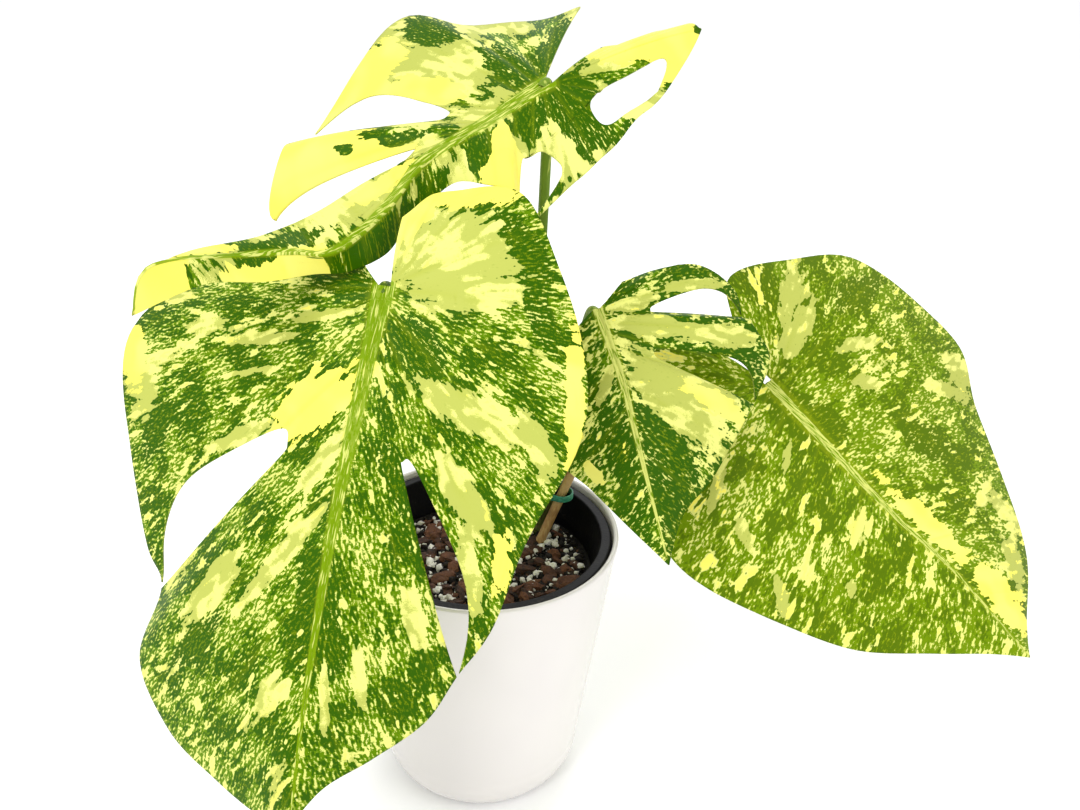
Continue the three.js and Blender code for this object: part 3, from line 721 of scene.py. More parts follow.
def leaf_material(name, shift, cream_edge, dash_edge, speck_edge, warmth, gold, rib_edge,
                  rib_at, rags, underside=False):
    """Green blade with cream patches, dashes and specks, and the sage and
    yellow sectors of the paint. A higher edge leaves less of its kind. warmth
    gives more of the lighter green and gold yellows it, rib_edge and rib_at set
    how streaked and how narrow the midrib is, rags how torn the sectors are."""
    board = Board(name)
    flow = board.uv("flow")
    place = board.stretch(board.uv("place"), (1.0, 1.0, 1.0), shift)
    paint = board.node("ShaderNodeAttribute", {"attribute_name": "paint"})
    yellow, sage, dark = (board.node("ShaderNodeSeparateColor", {}, {"Color": paint}, output=i)
                          for i in range(3))
    ribs = board.node("ShaderNodeAttribute", {"attribute_name": "paint"}, output=3)
    midrib = board.step(ribs, rib_at, 0.1)
    side_vein = (ribs * 2.0).smaller(1.0) * (1.0 - midrib)

    def streaks(fineness, length, taps, **looks):
        """Noise averaged at a few places along the vein, over a length in cm."""
        reads = []
        for share in np.linspace(-0.5, 0.5, taps):
            spot = board.node("ShaderNodeVectorMath", {"operation": "MULTIPLY_ADD"},
                              [flow, (float(share * length),) * 3, place])
            reads.append(board.noise(spot, fineness, **looks))
        return sum(reads) / float(taps)

    patch = streaks(0.62, 2.2, 4, detail=1.0)
    dash = streaks(2.6, 0.55, 4, detail=1.0)
    speck = streaks(8.5, 0.13, 3, detail=1.0)
    grain = board.noise(place, 26.0, detail=1.0)
    broad = board.noise(place, 0.45, detail=1.0)

    jag = (dash - 0.5) * 0.8 + (speck - 0.5) * 0.35
    cream_mask = board.step(patch + jag * 0.8 + (broad - 0.5) * 0.3 + sage * 0.10 - dark * 0.16,
                            cream_edge, 0.006)
    dash_mask = board.step(dash + (patch - 0.5) * 0.5 + (speck - 0.5) * 0.25 - dark * 0.16,
                           dash_edge, 0.008)
    speck_mask = board.step(speck + (dash - 0.5) * 0.35 + (broad - 0.5) * 0.35
                            + (grain - 0.5) * 0.2 - dark * 0.05, speck_edge, 0.012)
    fleck_mask = board.step(speck + (dash - 0.5) * 0.2 + (grain - 0.5) * 0.3,
                            speck_edge - 0.02, 0.02)
    ragged = ((patch - 0.5) * 2.2 + (dash - 0.5) * 3.6 + (speck - 0.5) * 1.4) * rags
    sage_mask = board.step(sage * 1.25 - dark * 0.7 + ragged, 0.5, 0.02)
    yellow_mask = board.step(yellow * 1.25 - dark * 0.9 + ragged, 0.5, 0.02)

    green = board.mix(dim(DARK_GREEN), dim(MID_GREEN),
                      board.step((dash + speck + broad) * 0.6 - dark * 0.3, 0.90 - warmth, 0.03))
    green = board.mix(green, dim(GOLD_GREEN), fleck_mask * 0.35 + gold)
    green = board.mix(green, dim(CREAM), speck_mask * 0.85)
    pale = board.mix(dim(SAGE), dim(CREAM), board.step(dash + (broad - 0.5) * 0.8
                                                       + (grain - 0.5) * 0.2, 0.55, 0.03))
    mottle = board.mix(pale, dim(MID_GREEN),
                       board.step(speck + (dash - 0.5) * 0.4, 0.62, 0.02) * 0.2)
    lemon = board.mix(dim(YELLOW), dim(CREAM), board.step(broad + (patch - 0.5), 0.55, 0.15) * 0.6)
    colour = board.mix(green, dim(CREAM), dash_mask * 0.9)
    colour = board.mix(colour, pale, cream_mask)
    colour = board.mix(colour, mottle, sage_mask)
    colour = board.mix(colour, lemon, yellow_mask)
    colour = board.mix(colour, dim(GOLD_GREEN), side_vein * 0.25)
    rib_streak = board.noise(board.stretch(place, (16.0, 1.1, 1.0)), detail=2.0)
    rib_colour = board.mix(dim(RIB_GREEN), dim(CREAM), board.step(rib_streak, rib_edge, 0.04) * 0.8)
    colour = board.mix(colour, rib_colour, midrib * 0.9)
    if underside:
        colour = board.mix(colour, dim(UNDER_GREEN), 0.30)
    height = (grain - 0.5) * 0.2 + (dash - 0.5) * 0.5 - side_vein * 0.6
    normal = board.bump(height, 0.0004, 0.5)
    roughness = (0.60 if underside else 0.42) + (speck - 0.5) * 0.12
    return board.surface(colour, roughness, normal, Specular_IOR_Level=0.04)


# %% [markdown]
# ## The blades
# Each blade is one closed sheet 0.8 mm thick. The middle surface comes from
# the formulas above, Solidify gives it its thickness and a paler underside.

# %% Build the four blades
PAINT = {
    "leaf_front": {
        "yellow": [
            (9, 23, 4.6, 10, -50), (-3, -13, 2.4, 5.5, -35), (-12, -19.5, 3.2, 10, -80),
            (-37, 15, 1.5, 16, 6), (-28, 48, 1.7, 5, 10), (57, 19, 3.8, 7, 20)],
        "sage": [
            (-13, -7, 12, 10, 0), (-20, 21, 3.1, 12, 70), (-20, 36, 2.5, 9, 35),
            (-23, 49, 1.6, 9, 15), (38, 12, 2, 5, -75), (54, 24, 4.5, 8, 30),
            (25, 32, 1.5, 9, -65), (5, 34, 1.8, 7, -30), (25, 62, 3, 11, -35),
            (10, 53, 1.8, 13, -35), (-8, 71, 1.1, 6, 10), (-15, 59, 1.5, 7, 15),
            (8, 76, 1.6, 4, -30), (-3, 76, 0.8, 7, 5), (11, 7, 1, 7, -75),
            (23, 13, 1.3, 7, -80), (26, 20, 0.8, 8, -75), (-32, 25, 2.5, 7, 30)],
        "dark": [
            (10, -1, 2.8, 7, 75), (-24, -11, 2.2, 6, 45), (-9, 10, 2.7, 5, 40),
            (-29, 1, 1.8, 5, 30), (0, 61, 2.7, 9, 20), (-12, 40, 1.6, 8, 35),
            (27, 72, 2, 7, -40), (47, 34, 2.5, 5, -30)],
    },
    "leaf_top": {
        "yellow": [
            (45, 24, 8, 14, -12), (24, 50, 7, 13, -35), (14, 42, 3, 11, -40),
            (-5, -25, 4, 13, -15), (-11, -30, 2.5, 9, 10), (-13, 23, 5, 8, 60),
            (-6, 19, 2, 6, 30), (-4, 74, 2.6, 11, -4), (0, 101, 1.5, 3, 0),
            (24, 18, 3, 12, -75), (3, 44, 3, 7, -10), (3, 88, 2, 8, 0), (0, 95, 3, 4.5, 0)],
        "sage": [
            (27, 12, 6.4, 17, -75), (27, -9, 3.9, 8, -65), (-5, -15, 1.8, 6, -15),
            (2, 18, 4.8, 5, -40), (3, 49, 5.8, 10, -20), (-18, -3, 0.9, 2, -5)],
        "dark": [
            (39, 4, 5, 9, -85), (12, 2, 3.7, 10, -85), (11, -11, 2.2, 10, 30),
            (10, 34, 1, 6, -35), (19, 44, 0.8, 3, -55), (-10, 0, 5.8, 7, -75),
            (-5, 11, 3.3, 4, -5), (-6, 24, 2.2, 4, 25), (-5, 48, 1.1, 14, 5),
            (0, 69, 2.2, 10, 5), (-19, 13, 0.8, 8, 5), (-17, -9, 0.8, 3, 5)],
    },
    "leaf_middle": {
        "yellow": [
            (-40, 46, 3.8, 17, 55), (17, 60, 2.0, 5, 25), (6, 56, 1.2, 6, -5)],
        "sage": [
            (6, 29, 2.0, 8, -35), (-22, 40, 13.4, 29, 40), (-32, 37, 7, 24, 50),
            (-29, 14, 3.8, 26, 75), (-47, 20, 4.6, 20, 75), (-14, 1, 2.8, 12, -85),
            (-42, -1, 2.5, 15, 85)],
        "dark": [
            (-11, 57, 8.4, 16, 30), (7, 62, 2.6, 13, 0), (16, 52, 1.8, 6, 5),
            (-5, 76, 5, 14, 5), (-13, -5, 1.9, 8, -70), (-43, -7, 2.1, 9, 75),
            (-38, 13, 1.4, 16, 80), (-65, 38, 4, 5, 15)],
    },
    "leaf_right": {
        "yellow": [
            (-4, 56, 2.8, 15, 3), (-6, 84, 4.6, 12, 4)],
        "sage": [
            (-19, -5, 3.6, 11, -75), (-27, -13, 3.4, 12, -62), (-30, 10, 1.9, 8, 65),
            (-22, 19, 2.4, 5, 50), (-56, 38, 5.7, 6, 0), (-46, 39, 2.5, 12, 40),
            (-31, 73, 3.4, 7, 10), (-19, 82, 3.8, 7, -40), (35, 24, 1.6, 5, -20),
            (13, 17, 1.2, 5, -60), (32, 10, 1.3, 7, -60), (23, 54, 1.2, 3, -20),
            (37, 42, 1.4, 5, -20)],
        "dark": [(0, 13, 4.4, 9, 25), (-46, 0, 3.7, 11, 80), (-24, 42, 5.1, 7, 20)],
    },
}
LOOKS = {
    "leaf_front": dict(shift=(3.0, 1.0, 0.0), cream_edge=0.600, dash_edge=0.575, speck_edge=0.565,
                       warmth=0.02, gold=0.00, rib_edge=0.60, rib_at=0.75, rags=1.0),
    "leaf_top": dict(shift=(11.0, 4.0, 2.0), cream_edge=0.485, dash_edge=0.600, speck_edge=0.580,
                     warmth=0.02, gold=0.00, rib_edge=0.55, rib_at=0.80, rags=0.6),
    "leaf_middle": dict(shift=(7.5, 2.5, 5.0), cream_edge=0.600, dash_edge=0.590, speck_edge=0.580,
                        warmth=-0.04, gold=0.00, rib_edge=0.42, rib_at=0.90, rags=0.9),
    "leaf_right": dict(shift=(15.0, 8.0, 1.0), cream_edge=0.640, dash_edge=0.590, speck_edge=0.592,
                       warmth=0.05, gold=0.17, rib_edge=0.48, rib_at=1.38, rags=1.0),
}

for leaf in LEAVES:
    name = leaf["name"]
    points, triangles, corners, uvs, paint = leaf_sheet(leaf, PAINT[name])
    look = LOOKS[name]
    skins = [leaf_material(name + " top", **look),
             leaf_material(name + " under", underside=True, **look)]
    blade = put(name + "_blade", points, triangles, skins, name, [name], uvs, paint,
                corners=corners)
    thick = blade.modifiers.new("thickness", "SOLIDIFY")
    thick.thickness = THICKNESS * MM
    thick.offset = 0.0
    thick.material_offset = 1
    thick.material_offset_rim = 1
    print(name, len(triangles), "triangles, open and crowded edges", open_edges(triangles))

# %% [markdown]
# ## Tubes carried along a path
# Petioles, the ribs under the blades, the stem and the stake are all round
# things that follow a line. One function carries a round section along a path.
# The radius may change along the path and around it, which gives grooves,
# rings and flared ends without any extra pieces.

# %% Tube helper
def unit(vectors):
    return vectors / np.linalg.norm(vectors, axis=-1, keepdims=True)


def path_through(knots, count):
    """Points along a Catmull-Rom curve through the knots, evenly numbered."""
    return smooth_rows(knots, np.linspace(0, len(knots) - 1, count))


def sweep(path, radius, beside, around):
    """Closed tube: point = path + radius(station, angle) times a circle that
    stands square on the path. `beside` is a direction the path never takes."""
    along = unit(np.gradient(path, axis=0))
    side = unit(np.cross(along, beside))
    other = np.cross(along, side)
    angle = np.linspace(0, 2 * math.pi, around + 1)
    if not callable(radius):
        table = np.broadcast_to(np.asarray(radius, float)[:, None], (len(path), around + 1))
    else:
        table = radius(np.linspace(0, 1, len(path))[:, None], angle[None, :])
    ring = (side[:, None] * np.cos(angle)[None, :, None]
            + other[:, None] * np.sin(angle)[None, :, None])
    body = path[:, None] + ring * table[..., None]
    first = np.repeat(path[:1, None], around + 1, axis=1)
    last = np.repeat(path[-1:, None], around + 1, axis=1)
    rows = np.concatenate([first, body, last])
    return rows.reshape(-1, 3), grid_faces(len(rows), around + 1)


def put_closed(name, points, triangles, material, slot, replaces=(), paint=None, smooth=True):
    """Weld a closed surface given in millimetres, check it and make the piece."""
    welded, faces, _, first = weld(points * MM, triangles)
    a, b, c = (welded[faces[:, i]] for i in range(3))
    volume = float(np.einsum("ij,ij->i", a, np.cross(b, c)).sum() / 6 * 1e6)
    if volume < 0:
        faces = faces[:, ::-1]
    print(name, len(faces), "triangles,", round(abs(volume), 2), "cm3, open edges",
          open_edges(faces)[0])
    return put(name, welded, faces, [material], slot, replaces,
               paint=None if paint is None else paint[first], smooth=smooth)


# %% [markdown]
# ## Petioles and ribs
# A petiole starts as a sheath beside the stem, stays round with a shallow
# groove along one side, thickens a little at the knee just under the blade
# and goes over into the rib that carries the blade. The rib is a tapering tube
# that lies against the underside, just below the groove over the midrib.

# %% Petioles and ribs
def stalk_material():
    board = Board("stalk")
    place = board.object_place()
    tone = board.noise(board.stretch(place, (9.0, 9.0, 9.0)), detail=2.0)
    fleck = board.noise(board.stretch(place, (420.0, 420.0, 60.0)), detail=2.0, roughness=0.6)
    colour = board.mix(dim(rgb(70, 98, 16)), dim(rgb(120, 150, 40)), board.step(tone, 0.5, 0.2))
    colour = board.mix(colour, dim(rgb(190, 200, 96)), board.step(fleck, 0.60, 0.03) * 0.7)
    return board.surface(colour, 0.38 + fleck * 0.15, board.bump(fleck, 0.0005, 0.3),
                         Specular_IOR_Level=0.15)


STALK = stalk_material()
STEM_AXIS = np.array([34.43, 34.43])
STEM_RADIUS = 8.0
STEM_TOP = SOIL_TOP + 54.0
PETIOLE_RADIUS = 3.0
FOOT_GAP = 1.2  # mm between the stem and a petiole's foot
RIB_GAP = 0.3  # mm between the middle of the sheet and the top of the rib
PETIOLES = {  # bearing round the stem, drop below the stem's top, lift of the bow
    "front": (225, 14, 18), "top": (120, 10, 0), "middle": (10, 10, 12), "right": (55, 12, 22),
}


def petiole_radius(share, angle):
    """Sheath, shaft and knee along the way, and a groove on one side."""
    sheath = 1.9 * np.exp(-(share / 0.10) ** 2)
    knee = 0.55 * np.exp(-((share - 0.94) / 0.035) ** 2)
    taper = PETIOLE_RADIUS * (1.0 - 0.14 * share) * np.sqrt(np.clip(1.04 - share ** 60, 0, 1))
    groove = 0.35 * np.exp(-((angle - math.pi) / 0.42) ** 2) * np.clip(share / 0.1, 0, 1)
    return taper + sheath + knee - groove


for leaf in LEAVES:
    short = leaf["name"].split("_")[1]
    bearing, drop, lift = PETIOLES[short]
    across, along, face = leaf_axes(leaf)
    joint = np.array(leaf["joint"]) + [0, 0, SOIL_TOP]
    turned_to = math.radians(bearing)
    foot = STEM_AXIS + (STEM_RADIUS + PETIOLE_RADIUS + FOOT_GAP) * np.array(
        [math.cos(turned_to), math.sin(turned_to)])
    start = np.array([*foot, STEM_TOP - drop])
    clear = np.array([*foot, STEM_TOP + PETIOLE_RADIUS])
    neck = joint - face * 4 * PETIOLE_RADIUS
    end = joint + along * 4.0 - face * 2.6
    middle = (clear + neck) / 2 + [0, 0, lift]
    path = path_through([start, clear, middle, neck, end], 150)
    bow = np.cross(clear - start, end - start)
    points, triangles = sweep(path, petiole_radius, unit(bow), 40)
    put_closed("petiole_" + short + "_stalk", points, triangles, STALK, "petiole_green",
               ["petiole_" + short])

    station = np.linspace(0, 0.97, 110)
    scale = leaf["length"] / 100
    local = midrib_points(leaf, station) * scale
    thickness = 0.35 + 1.9 * (1 - station) ** 1.3
    local[:, 2] -= groove_depth(station) + RIB_GAP + thickness
    rib_path = joint + local @ np.stack([across, along, face])
    points, triangles = sweep(rib_path, thickness, across, 14)
    put_closed("rib_" + short, points, triangles, STALK, leaf["name"])

# %% [markdown]
# ## Stem
# The stem is a short green cane. Rings mark where old leaves fell off. It is a
# tube whose radius has a swelling at each ring and closes to a dome on top.
# Stem and stake get their materials from one function, which draws long fibres
# and level rings in the colours it is given.

# %% Stem
STEM_DEPTH = 30.0
STEM_STEPS = 120


def stem_radius(share, angle):
    """Cane with six rings, faint ribs round it and a domed top."""
    ring = np.exp(-((np.mod(share * 6.0, 1.0) - 0.5) / 0.10) ** 2)
    top = np.sqrt(np.clip(1 - ((share - 0.93) / 0.07).clip(0, 1) ** 2, 0.02, 1))
    bark = 0.12 * np.sin(5 * angle + 9 * share) + 0.10 * np.sin(11 * angle - 23 * share)
    return (STEM_RADIUS - 0.7 + 0.55 * ring + bark) * top


def cane_material(name, light, deep, ring_every, ring_tint):
    board = Board(name)
    place = board.object_place()
    fibre = board.noise(board.stretch(place, (700.0, 700.0, 30.0)), detail=3.0, roughness=0.6)
    blotch = board.noise(board.stretch(place, (60.0, 60.0, 40.0)), detail=2.0)
    height = board.node("ShaderNodeSeparateXYZ", {}, {0: place}, output=2)
    turns = height * (2 * math.pi / ring_every)
    wave = turns.math("SINE", turns)
    colour = board.mix(dim(light), dim(deep), board.step(fibre * 0.5 + blotch * 0.5, 0.5, 0.10))
    colour = board.mix(colour, dim(ring_tint), board.step(wave, 0.90, 0.08) * 0.6)
    return board.surface(colour, 0.5 + fibre * 0.2, board.bump(fibre, 0.0006, 0.5))


stem_path = np.stack([np.full(STEM_STEPS, STEM_AXIS[0]), np.full(STEM_STEPS, STEM_AXIS[1]),
                      np.linspace(SOIL_TOP - STEM_DEPTH, STEM_TOP, STEM_STEPS)], 1)
points, triangles = sweep(stem_path, stem_radius, np.array([1.0, 0, 0]), 48)
put_closed("stem_cane", points, triangles,
           cane_material("stem", rgb(112, 128, 52), rgb(84, 92, 44), 0.0132, rgb(120, 104, 62)),
           "stem_green", ["stem"])

# %% [markdown]
# ## Stake
# A thin bamboo cane leans across the stem. It is straight, so its path is a
# straight line, and a few narrow knots thicken the tube.

# %% Stake
def stake_radius(share, angle):
    """Almost even cane with a few sharp knots and faint ribs round it."""
    knot = np.exp(-((np.mod(share * 3.2 + 0.3, 1.0) - 0.5) / 0.035) ** 2)
    return 2.75 + 0.22 * knot + 0.03 * np.sin(9 * angle)


STAKE_LOW = np.array([*(STEM_AXIS + [-12, -22]), SOIL_TOP - 24])
STAKE_HIGH = np.array([*(STEM_AXIS + [20, -5]), SOIL_TOP + 52])
stake_path = STAKE_LOW + np.linspace(0, 1, 90)[:, None] * (STAKE_HIGH - STAKE_LOW)
points, triangles = sweep(stake_path, stake_radius, np.array([1.0, -1.0, 0]), 32)
put_closed("stake_cane", points, triangles,
           cane_material("stake", rgb(206, 170, 112), rgb(176, 134, 80), 0.026, rgb(150, 110, 66)),
           "stake_wood", ["stake"])

# %% [markdown]
# ## Tie
# A soft teal tie holds stem and stake together. It is a flat band with rounded
# edges, carried along the outline of the two round things it embraces: an arc
# about each, joined by two straight stretches that touch both arcs.

# %% Tie
TIE_LEVEL = SOIL_TOP + 32
TIE_PLAY = 0.4  # mm between the band and the canes
STAKE_RADIUS = 3.0
HALF_BAND = 0.6  # half the band's thickness
HALF_TIE = 2.0  # half the band's height
BAND_ROUND = 25  # points round the band's section


def belt(near_radius, far_radius, apart):
    """Outline of a belt round two circles whose middles lie `apart` on one
    line: (x, y) and the outward direction. The straight stretches touch both
    circles at the angle whose cosine is (near - far) / apart."""
    tangent = math.acos((near_radius - far_radius) / apart)
    arc_near = np.linspace(tangent, 2 * math.pi - tangent, 80)
    arc_far = np.linspace(-tangent, tangent, 50)
    line = np.concatenate([
        np.stack([near_radius * np.cos(arc_near), near_radius * np.sin(arc_near),
                  np.cos(arc_near), np.sin(arc_near)], 1),
        np.stack([apart + far_radius * np.cos(arc_far), far_radius * np.sin(arc_far),
                  np.cos(arc_far), np.sin(arc_far)], 1)])
    return np.concatenate([line, line[:1]])


def tie_points():
    """The band's section is a squared circle: half a side times the square
    root of the cosine and of the sine, with their signs."""
    lean = STAKE_HIGH - STAKE_LOW
    at_band = STAKE_LOW + lean * (TIE_LEVEL - STAKE_LOW[2]) / lean[2]
    drift = np.linalg.norm(lean / lean[2] * HALF_TIE)
    to_stake = at_band[:2] - STEM_AXIS
    apart = np.linalg.norm(to_stake)
    line = belt(STEM_RADIUS + TIE_PLAY + HALF_BAND,
                STAKE_RADIUS + TIE_PLAY + drift + HALF_BAND, apart)
    round_by = np.linspace(0, 2 * math.pi, BAND_ROUND)
    bulge = np.sign(np.cos(round_by)) * np.abs(np.cos(round_by)) ** 0.5 * HALF_BAND
    rise = np.sign(np.sin(round_by)) * np.abs(np.sin(round_by)) ** 0.5 * HALF_TIE
    flat = line[:, None, :2] + line[:, None, 2:] * bulge[None, :, None]
    heading = to_stake / apart
    band = np.empty((len(line), BAND_ROUND, 3))
    band[..., 0] = STEM_AXIS[0] + flat[..., 0] * heading[0] - flat[..., 1] * heading[1]
    band[..., 1] = STEM_AXIS[1] + flat[..., 0] * heading[1] + flat[..., 1] * heading[0]
    band[..., 2] = TIE_LEVEL + rise[None, :]
    return band.reshape(-1, 3), grid_faces(len(line), BAND_ROUND)


def tie_material():
    board = Board("tie")
    place = board.object_place()
    grain = board.noise(board.stretch(place, (500.0, 500.0, 1500.0)), detail=2.0)
    colour = board.mix(dim(rgb(38, 128, 104)), dim(rgb(72, 168, 136)), board.step(grain, 0.5, 0.2))
    return board.surface(colour, 0.40 + grain * 0.2, board.bump(grain, 0.0003, 0.5))


points, triangles = tie_points()
put_closed("tie_band", points, triangles, tie_material(), "tie_teal", ["plant_tie"])

# %% [markdown]
# ## Turned profiles
# Both pots are round, so each is an outline of radius and height turned round
# the upright axis. An outline is put together from arcs and straight lines.
# The Spin tool or a Screw modifier would do the same; an outline in numbers
# keeps the wall even and the seam closed.

# %% Outline helpers
AROUND = 256  # steps round the pots and the mix


def turned(profile):
    """Turn an outline of (radius, height) pairs round the upright axis: up on
    the outside, down on the inside."""
    profile = np.asarray(profile, float)
    angle = np.linspace(0, 2 * math.pi, AROUND + 1)
    points = np.empty((len(profile), AROUND + 1, 3))
    points[..., 0] = profile[:, :1] * np.cos(angle)
    points[..., 1] = profile[:, :1] * np.sin(angle)
    points[..., 2] = profile[:, 1:]
    return points.reshape(-1, 3), grid_faces(len(profile), AROUND + 1)


def bow_points(centre, radii, from_deg, to_deg, count=24):
    """Points on an ellipse's arc in the outline."""
    angle = np.radians(np.linspace(from_deg, to_deg, count))
    return np.stack([centre[0] + radii[0] * np.cos(angle),
                     centre[1] + radii[1] * np.sin(angle)], 1)


def line_points(start, end, count):
    share = np.linspace(0, 1, count)[1:-1, None]
    return np.array(start) + share * (np.array(end) - np.array(start))


# %% [markdown]
# ## White glazed pot
# The outer pot is slip-cast and glazed: a smooth taper, a softly rounded foot
# and a thin round lip. Glaze is a white body under a clear coat. A faint wave
# and a few pits in it break up the reflections.

# %% Outer pot
POT_HEIGHT = SOIL_TOP + 25.0
RIM_RADIUS = 77.5
WAIST_RADIUS, WAIST_LEVEL = 60.0, 25.0  # where the foot's curve meets the wall
FOOT_RADIUS = 43.0
POT_WALL, POT_FLOOR = 3.0, 5.0
RECESS = 1.2  # how far the underside is hollowed
LIP_ROUND = 1.5


def pot_radius(z):
    """Outer radius of the straight wall at a height."""
    return WAIST_RADIUS + ((RIM_RADIUS - WAIST_RADIUS)
                           * (z - WAIST_LEVEL) / (POT_HEIGHT - WAIST_LEVEL))


LIP_LEVEL = POT_HEIGHT - LIP_ROUND
lip_centre = pot_radius(LIP_LEVEL) - LIP_ROUND
inner_waist = WAIST_RADIUS - POT_WALL
bend = (WAIST_RADIUS - FOOT_RADIUS, WAIST_LEVEL)
outside = np.concatenate([
    [(0, RECESS), (36, RECESS)],
    bow_points((40.5, 1.0), (3.0, 1.0), 180, 270, 10),
    bow_points((FOOT_RADIUS, WAIST_LEVEL), bend, -90, 0, 40),
    line_points((WAIST_RADIUS, WAIST_LEVEL), (pot_radius(LIP_LEVEL), LIP_LEVEL), 60),
    bow_points((lip_centre, LIP_LEVEL), (LIP_ROUND, LIP_ROUND), 0, 180, 18),
    line_points((lip_centre - LIP_ROUND, LIP_LEVEL), (inner_waist, WAIST_LEVEL + POT_FLOOR), 40),
    bow_points((inner_waist - bend[0], WAIST_LEVEL + POT_FLOOR), bend, 0, -90, 30),
    [(0, POT_FLOOR)]])


def glaze_material():
    board = Board("white glaze")
    place = board.object_place()
    cloud = board.noise(board.stretch(place, (14.0, 14.0, 9.0)), detail=2.0)
    wave = board.noise(board.stretch(place, (30.0, 30.0, 12.0)), detail=2.0)
    pit = board.noise(board.stretch(place, (900.0, 900.0, 900.0)), detail=1.0)
    colour = board.mix(rgb(206, 202, 199), rgb(212, 208, 204), board.step(cloud, 0.5, 0.25))
    height = wave * 0.8 + board.step(pit, 0.74, 0.03) * -0.06
    return board.surface(colour, 0.11 + cloud * 0.06, board.bump(height, 0.0012, 0.25),
                         Coat_Weight=0.3, Coat_Roughness=0.06)


points, triangles = turned(outside)
put_closed("outer_pot_glazed", points, triangles, glaze_material(), "white_glaze",
           ["outer_pot"])

# %% [markdown]
# ## Black nursery pot
# The pot that stands inside is thin moulded plastic. Its rim is rolled
# outwards and turned down, so that it rests close to the glazed wall. The
# outline goes up the outside, round under the rolled lip, over it and down
# the inside. Dull black plastic is never quite even: dust lies in patches.

# %% Nursery pot
TOP = POT_HEIGHT - 2.5  # the lip's top, a little below the glazed rim
LIP_DROP = 5.0  # how far the rolled lip turns down
LIP_PLAY = 0.5
LIP_WIDTH = 6.0
LIP_OUT = pot_radius(TOP - LIP_DROP) - (POT_WALL + LIP_PLAY)
LINER_MOUTH = LIP_OUT - LIP_WIDTH
LINER_BASE = 40.0
LINER_WALL = 1.2
LINER_BOTTOM = 5.3
LINER_FLOOR = LINER_BOTTOM + LINER_WALL
LIP_BEND = 1.3  # radius of the rolled lip's outer edge


def liner_radius(z):
    """Outer radius of the nursery pot's wall at a height."""
    return LINER_BASE + ((LINER_MOUTH + LINER_WALL - LINER_BASE)
                         * (z - LINER_BOTTOM) / (TOP - LINER_BOTTOM))


liner = np.concatenate([
    [(0, LINER_BOTTOM), (38.6, LINER_BOTTOM)],
    bow_points((LINER_BASE - LINER_WALL, LINER_FLOOR), (LINER_WALL, LINER_WALL), -90, 0, 8),
    line_points((LINER_BASE, LINER_FLOOR), (liner_radius(TOP - 6.5), TOP - 6.5), 60),
    [(liner_radius(TOP - 3.7), TOP - 3.7), (liner_radius(TOP - 1.5), TOP - 1.5)],
    [(LIP_OUT - 1.6, TOP - 1.4)],
    bow_points((LIP_OUT - 1.5, TOP - 2.1), (0.6, 0.6), 60, 0, 6),
    [(LIP_OUT - 1.0, TOP - 5.0), (LIP_OUT - 0.4, TOP - 5.2), (LIP_OUT, TOP - 4.9)],
    bow_points((LIP_OUT - LIP_BEND, TOP - LIP_BEND), (LIP_BEND, LIP_BEND), 0, 90, 10),
    line_points((LIP_OUT - LIP_BEND, TOP), (LINER_MOUTH + 1.0, TOP), 5),
    bow_points((LINER_MOUTH + 1.0, TOP - 1.0), (1.0, 1.0), 90, 180, 8),
    line_points((LINER_MOUTH, TOP - 1.0), (39.0, 7.5), 60),
    [(38.2, LINER_FLOOR), (0, LINER_FLOOR)]])


def plastic_material():
    board = Board("black plastic")
    place = board.object_place()
    grain = board.noise(board.stretch(place, (600.0, 600.0, 600.0)), detail=2.0)
    smear = board.noise(board.stretch(place, (40.0, 40.0, 70.0)), detail=3.0)
    dust = board.step(grain * 0.5 + smear * 0.5, 0.64, 0.04)
    colour = board.mix(rgb(12, 12, 14), rgb(54, 50, 46), dust * 0.4)
    return board.surface(colour, 0.36 + smear * 0.2, board.bump(grain, 0.0004, 0.4),
                         Specular_IOR_Level=0.15)


points, triangles = turned(liner)
put_closed("nursery_pot_moulded", points, triangles, plastic_material(), "black_plastic",
           ["nursery_pot"])

# %% [markdown]
# ## Body of the potting mix
# The mix fills the nursery pot. Its face is a rippled disc: rings of points
# from the middle outwards, then down the wall to the floor. Only the middle is
# roughened, so that the edge stays clear of the pot.

# %% Body of the mix
MIX_GAP = 1.5  # mm in from the outside of the nursery pot's wall
SOIL_RADIUS = liner_radius(SOIL_TOP) - MIX_GAP
SOIL_FLOOR = 6.8
ROUGH_REACH = 61.0  # mm from the axis


def soil_height(x, y):
    """Domed and rippled upper face of the mix."""
    share = np.minimum(np.hypot(x, y) / SOIL_RADIUS, 1)
    ripple = np.sin(0.19 * x + 1.3) * np.cos(0.23 * y) + np.sin(0.11 * (x - y))
    return SOIL_TOP + 3 * (1 - share ** 2) + 0.7 * ripple * (1 - share ** 4)


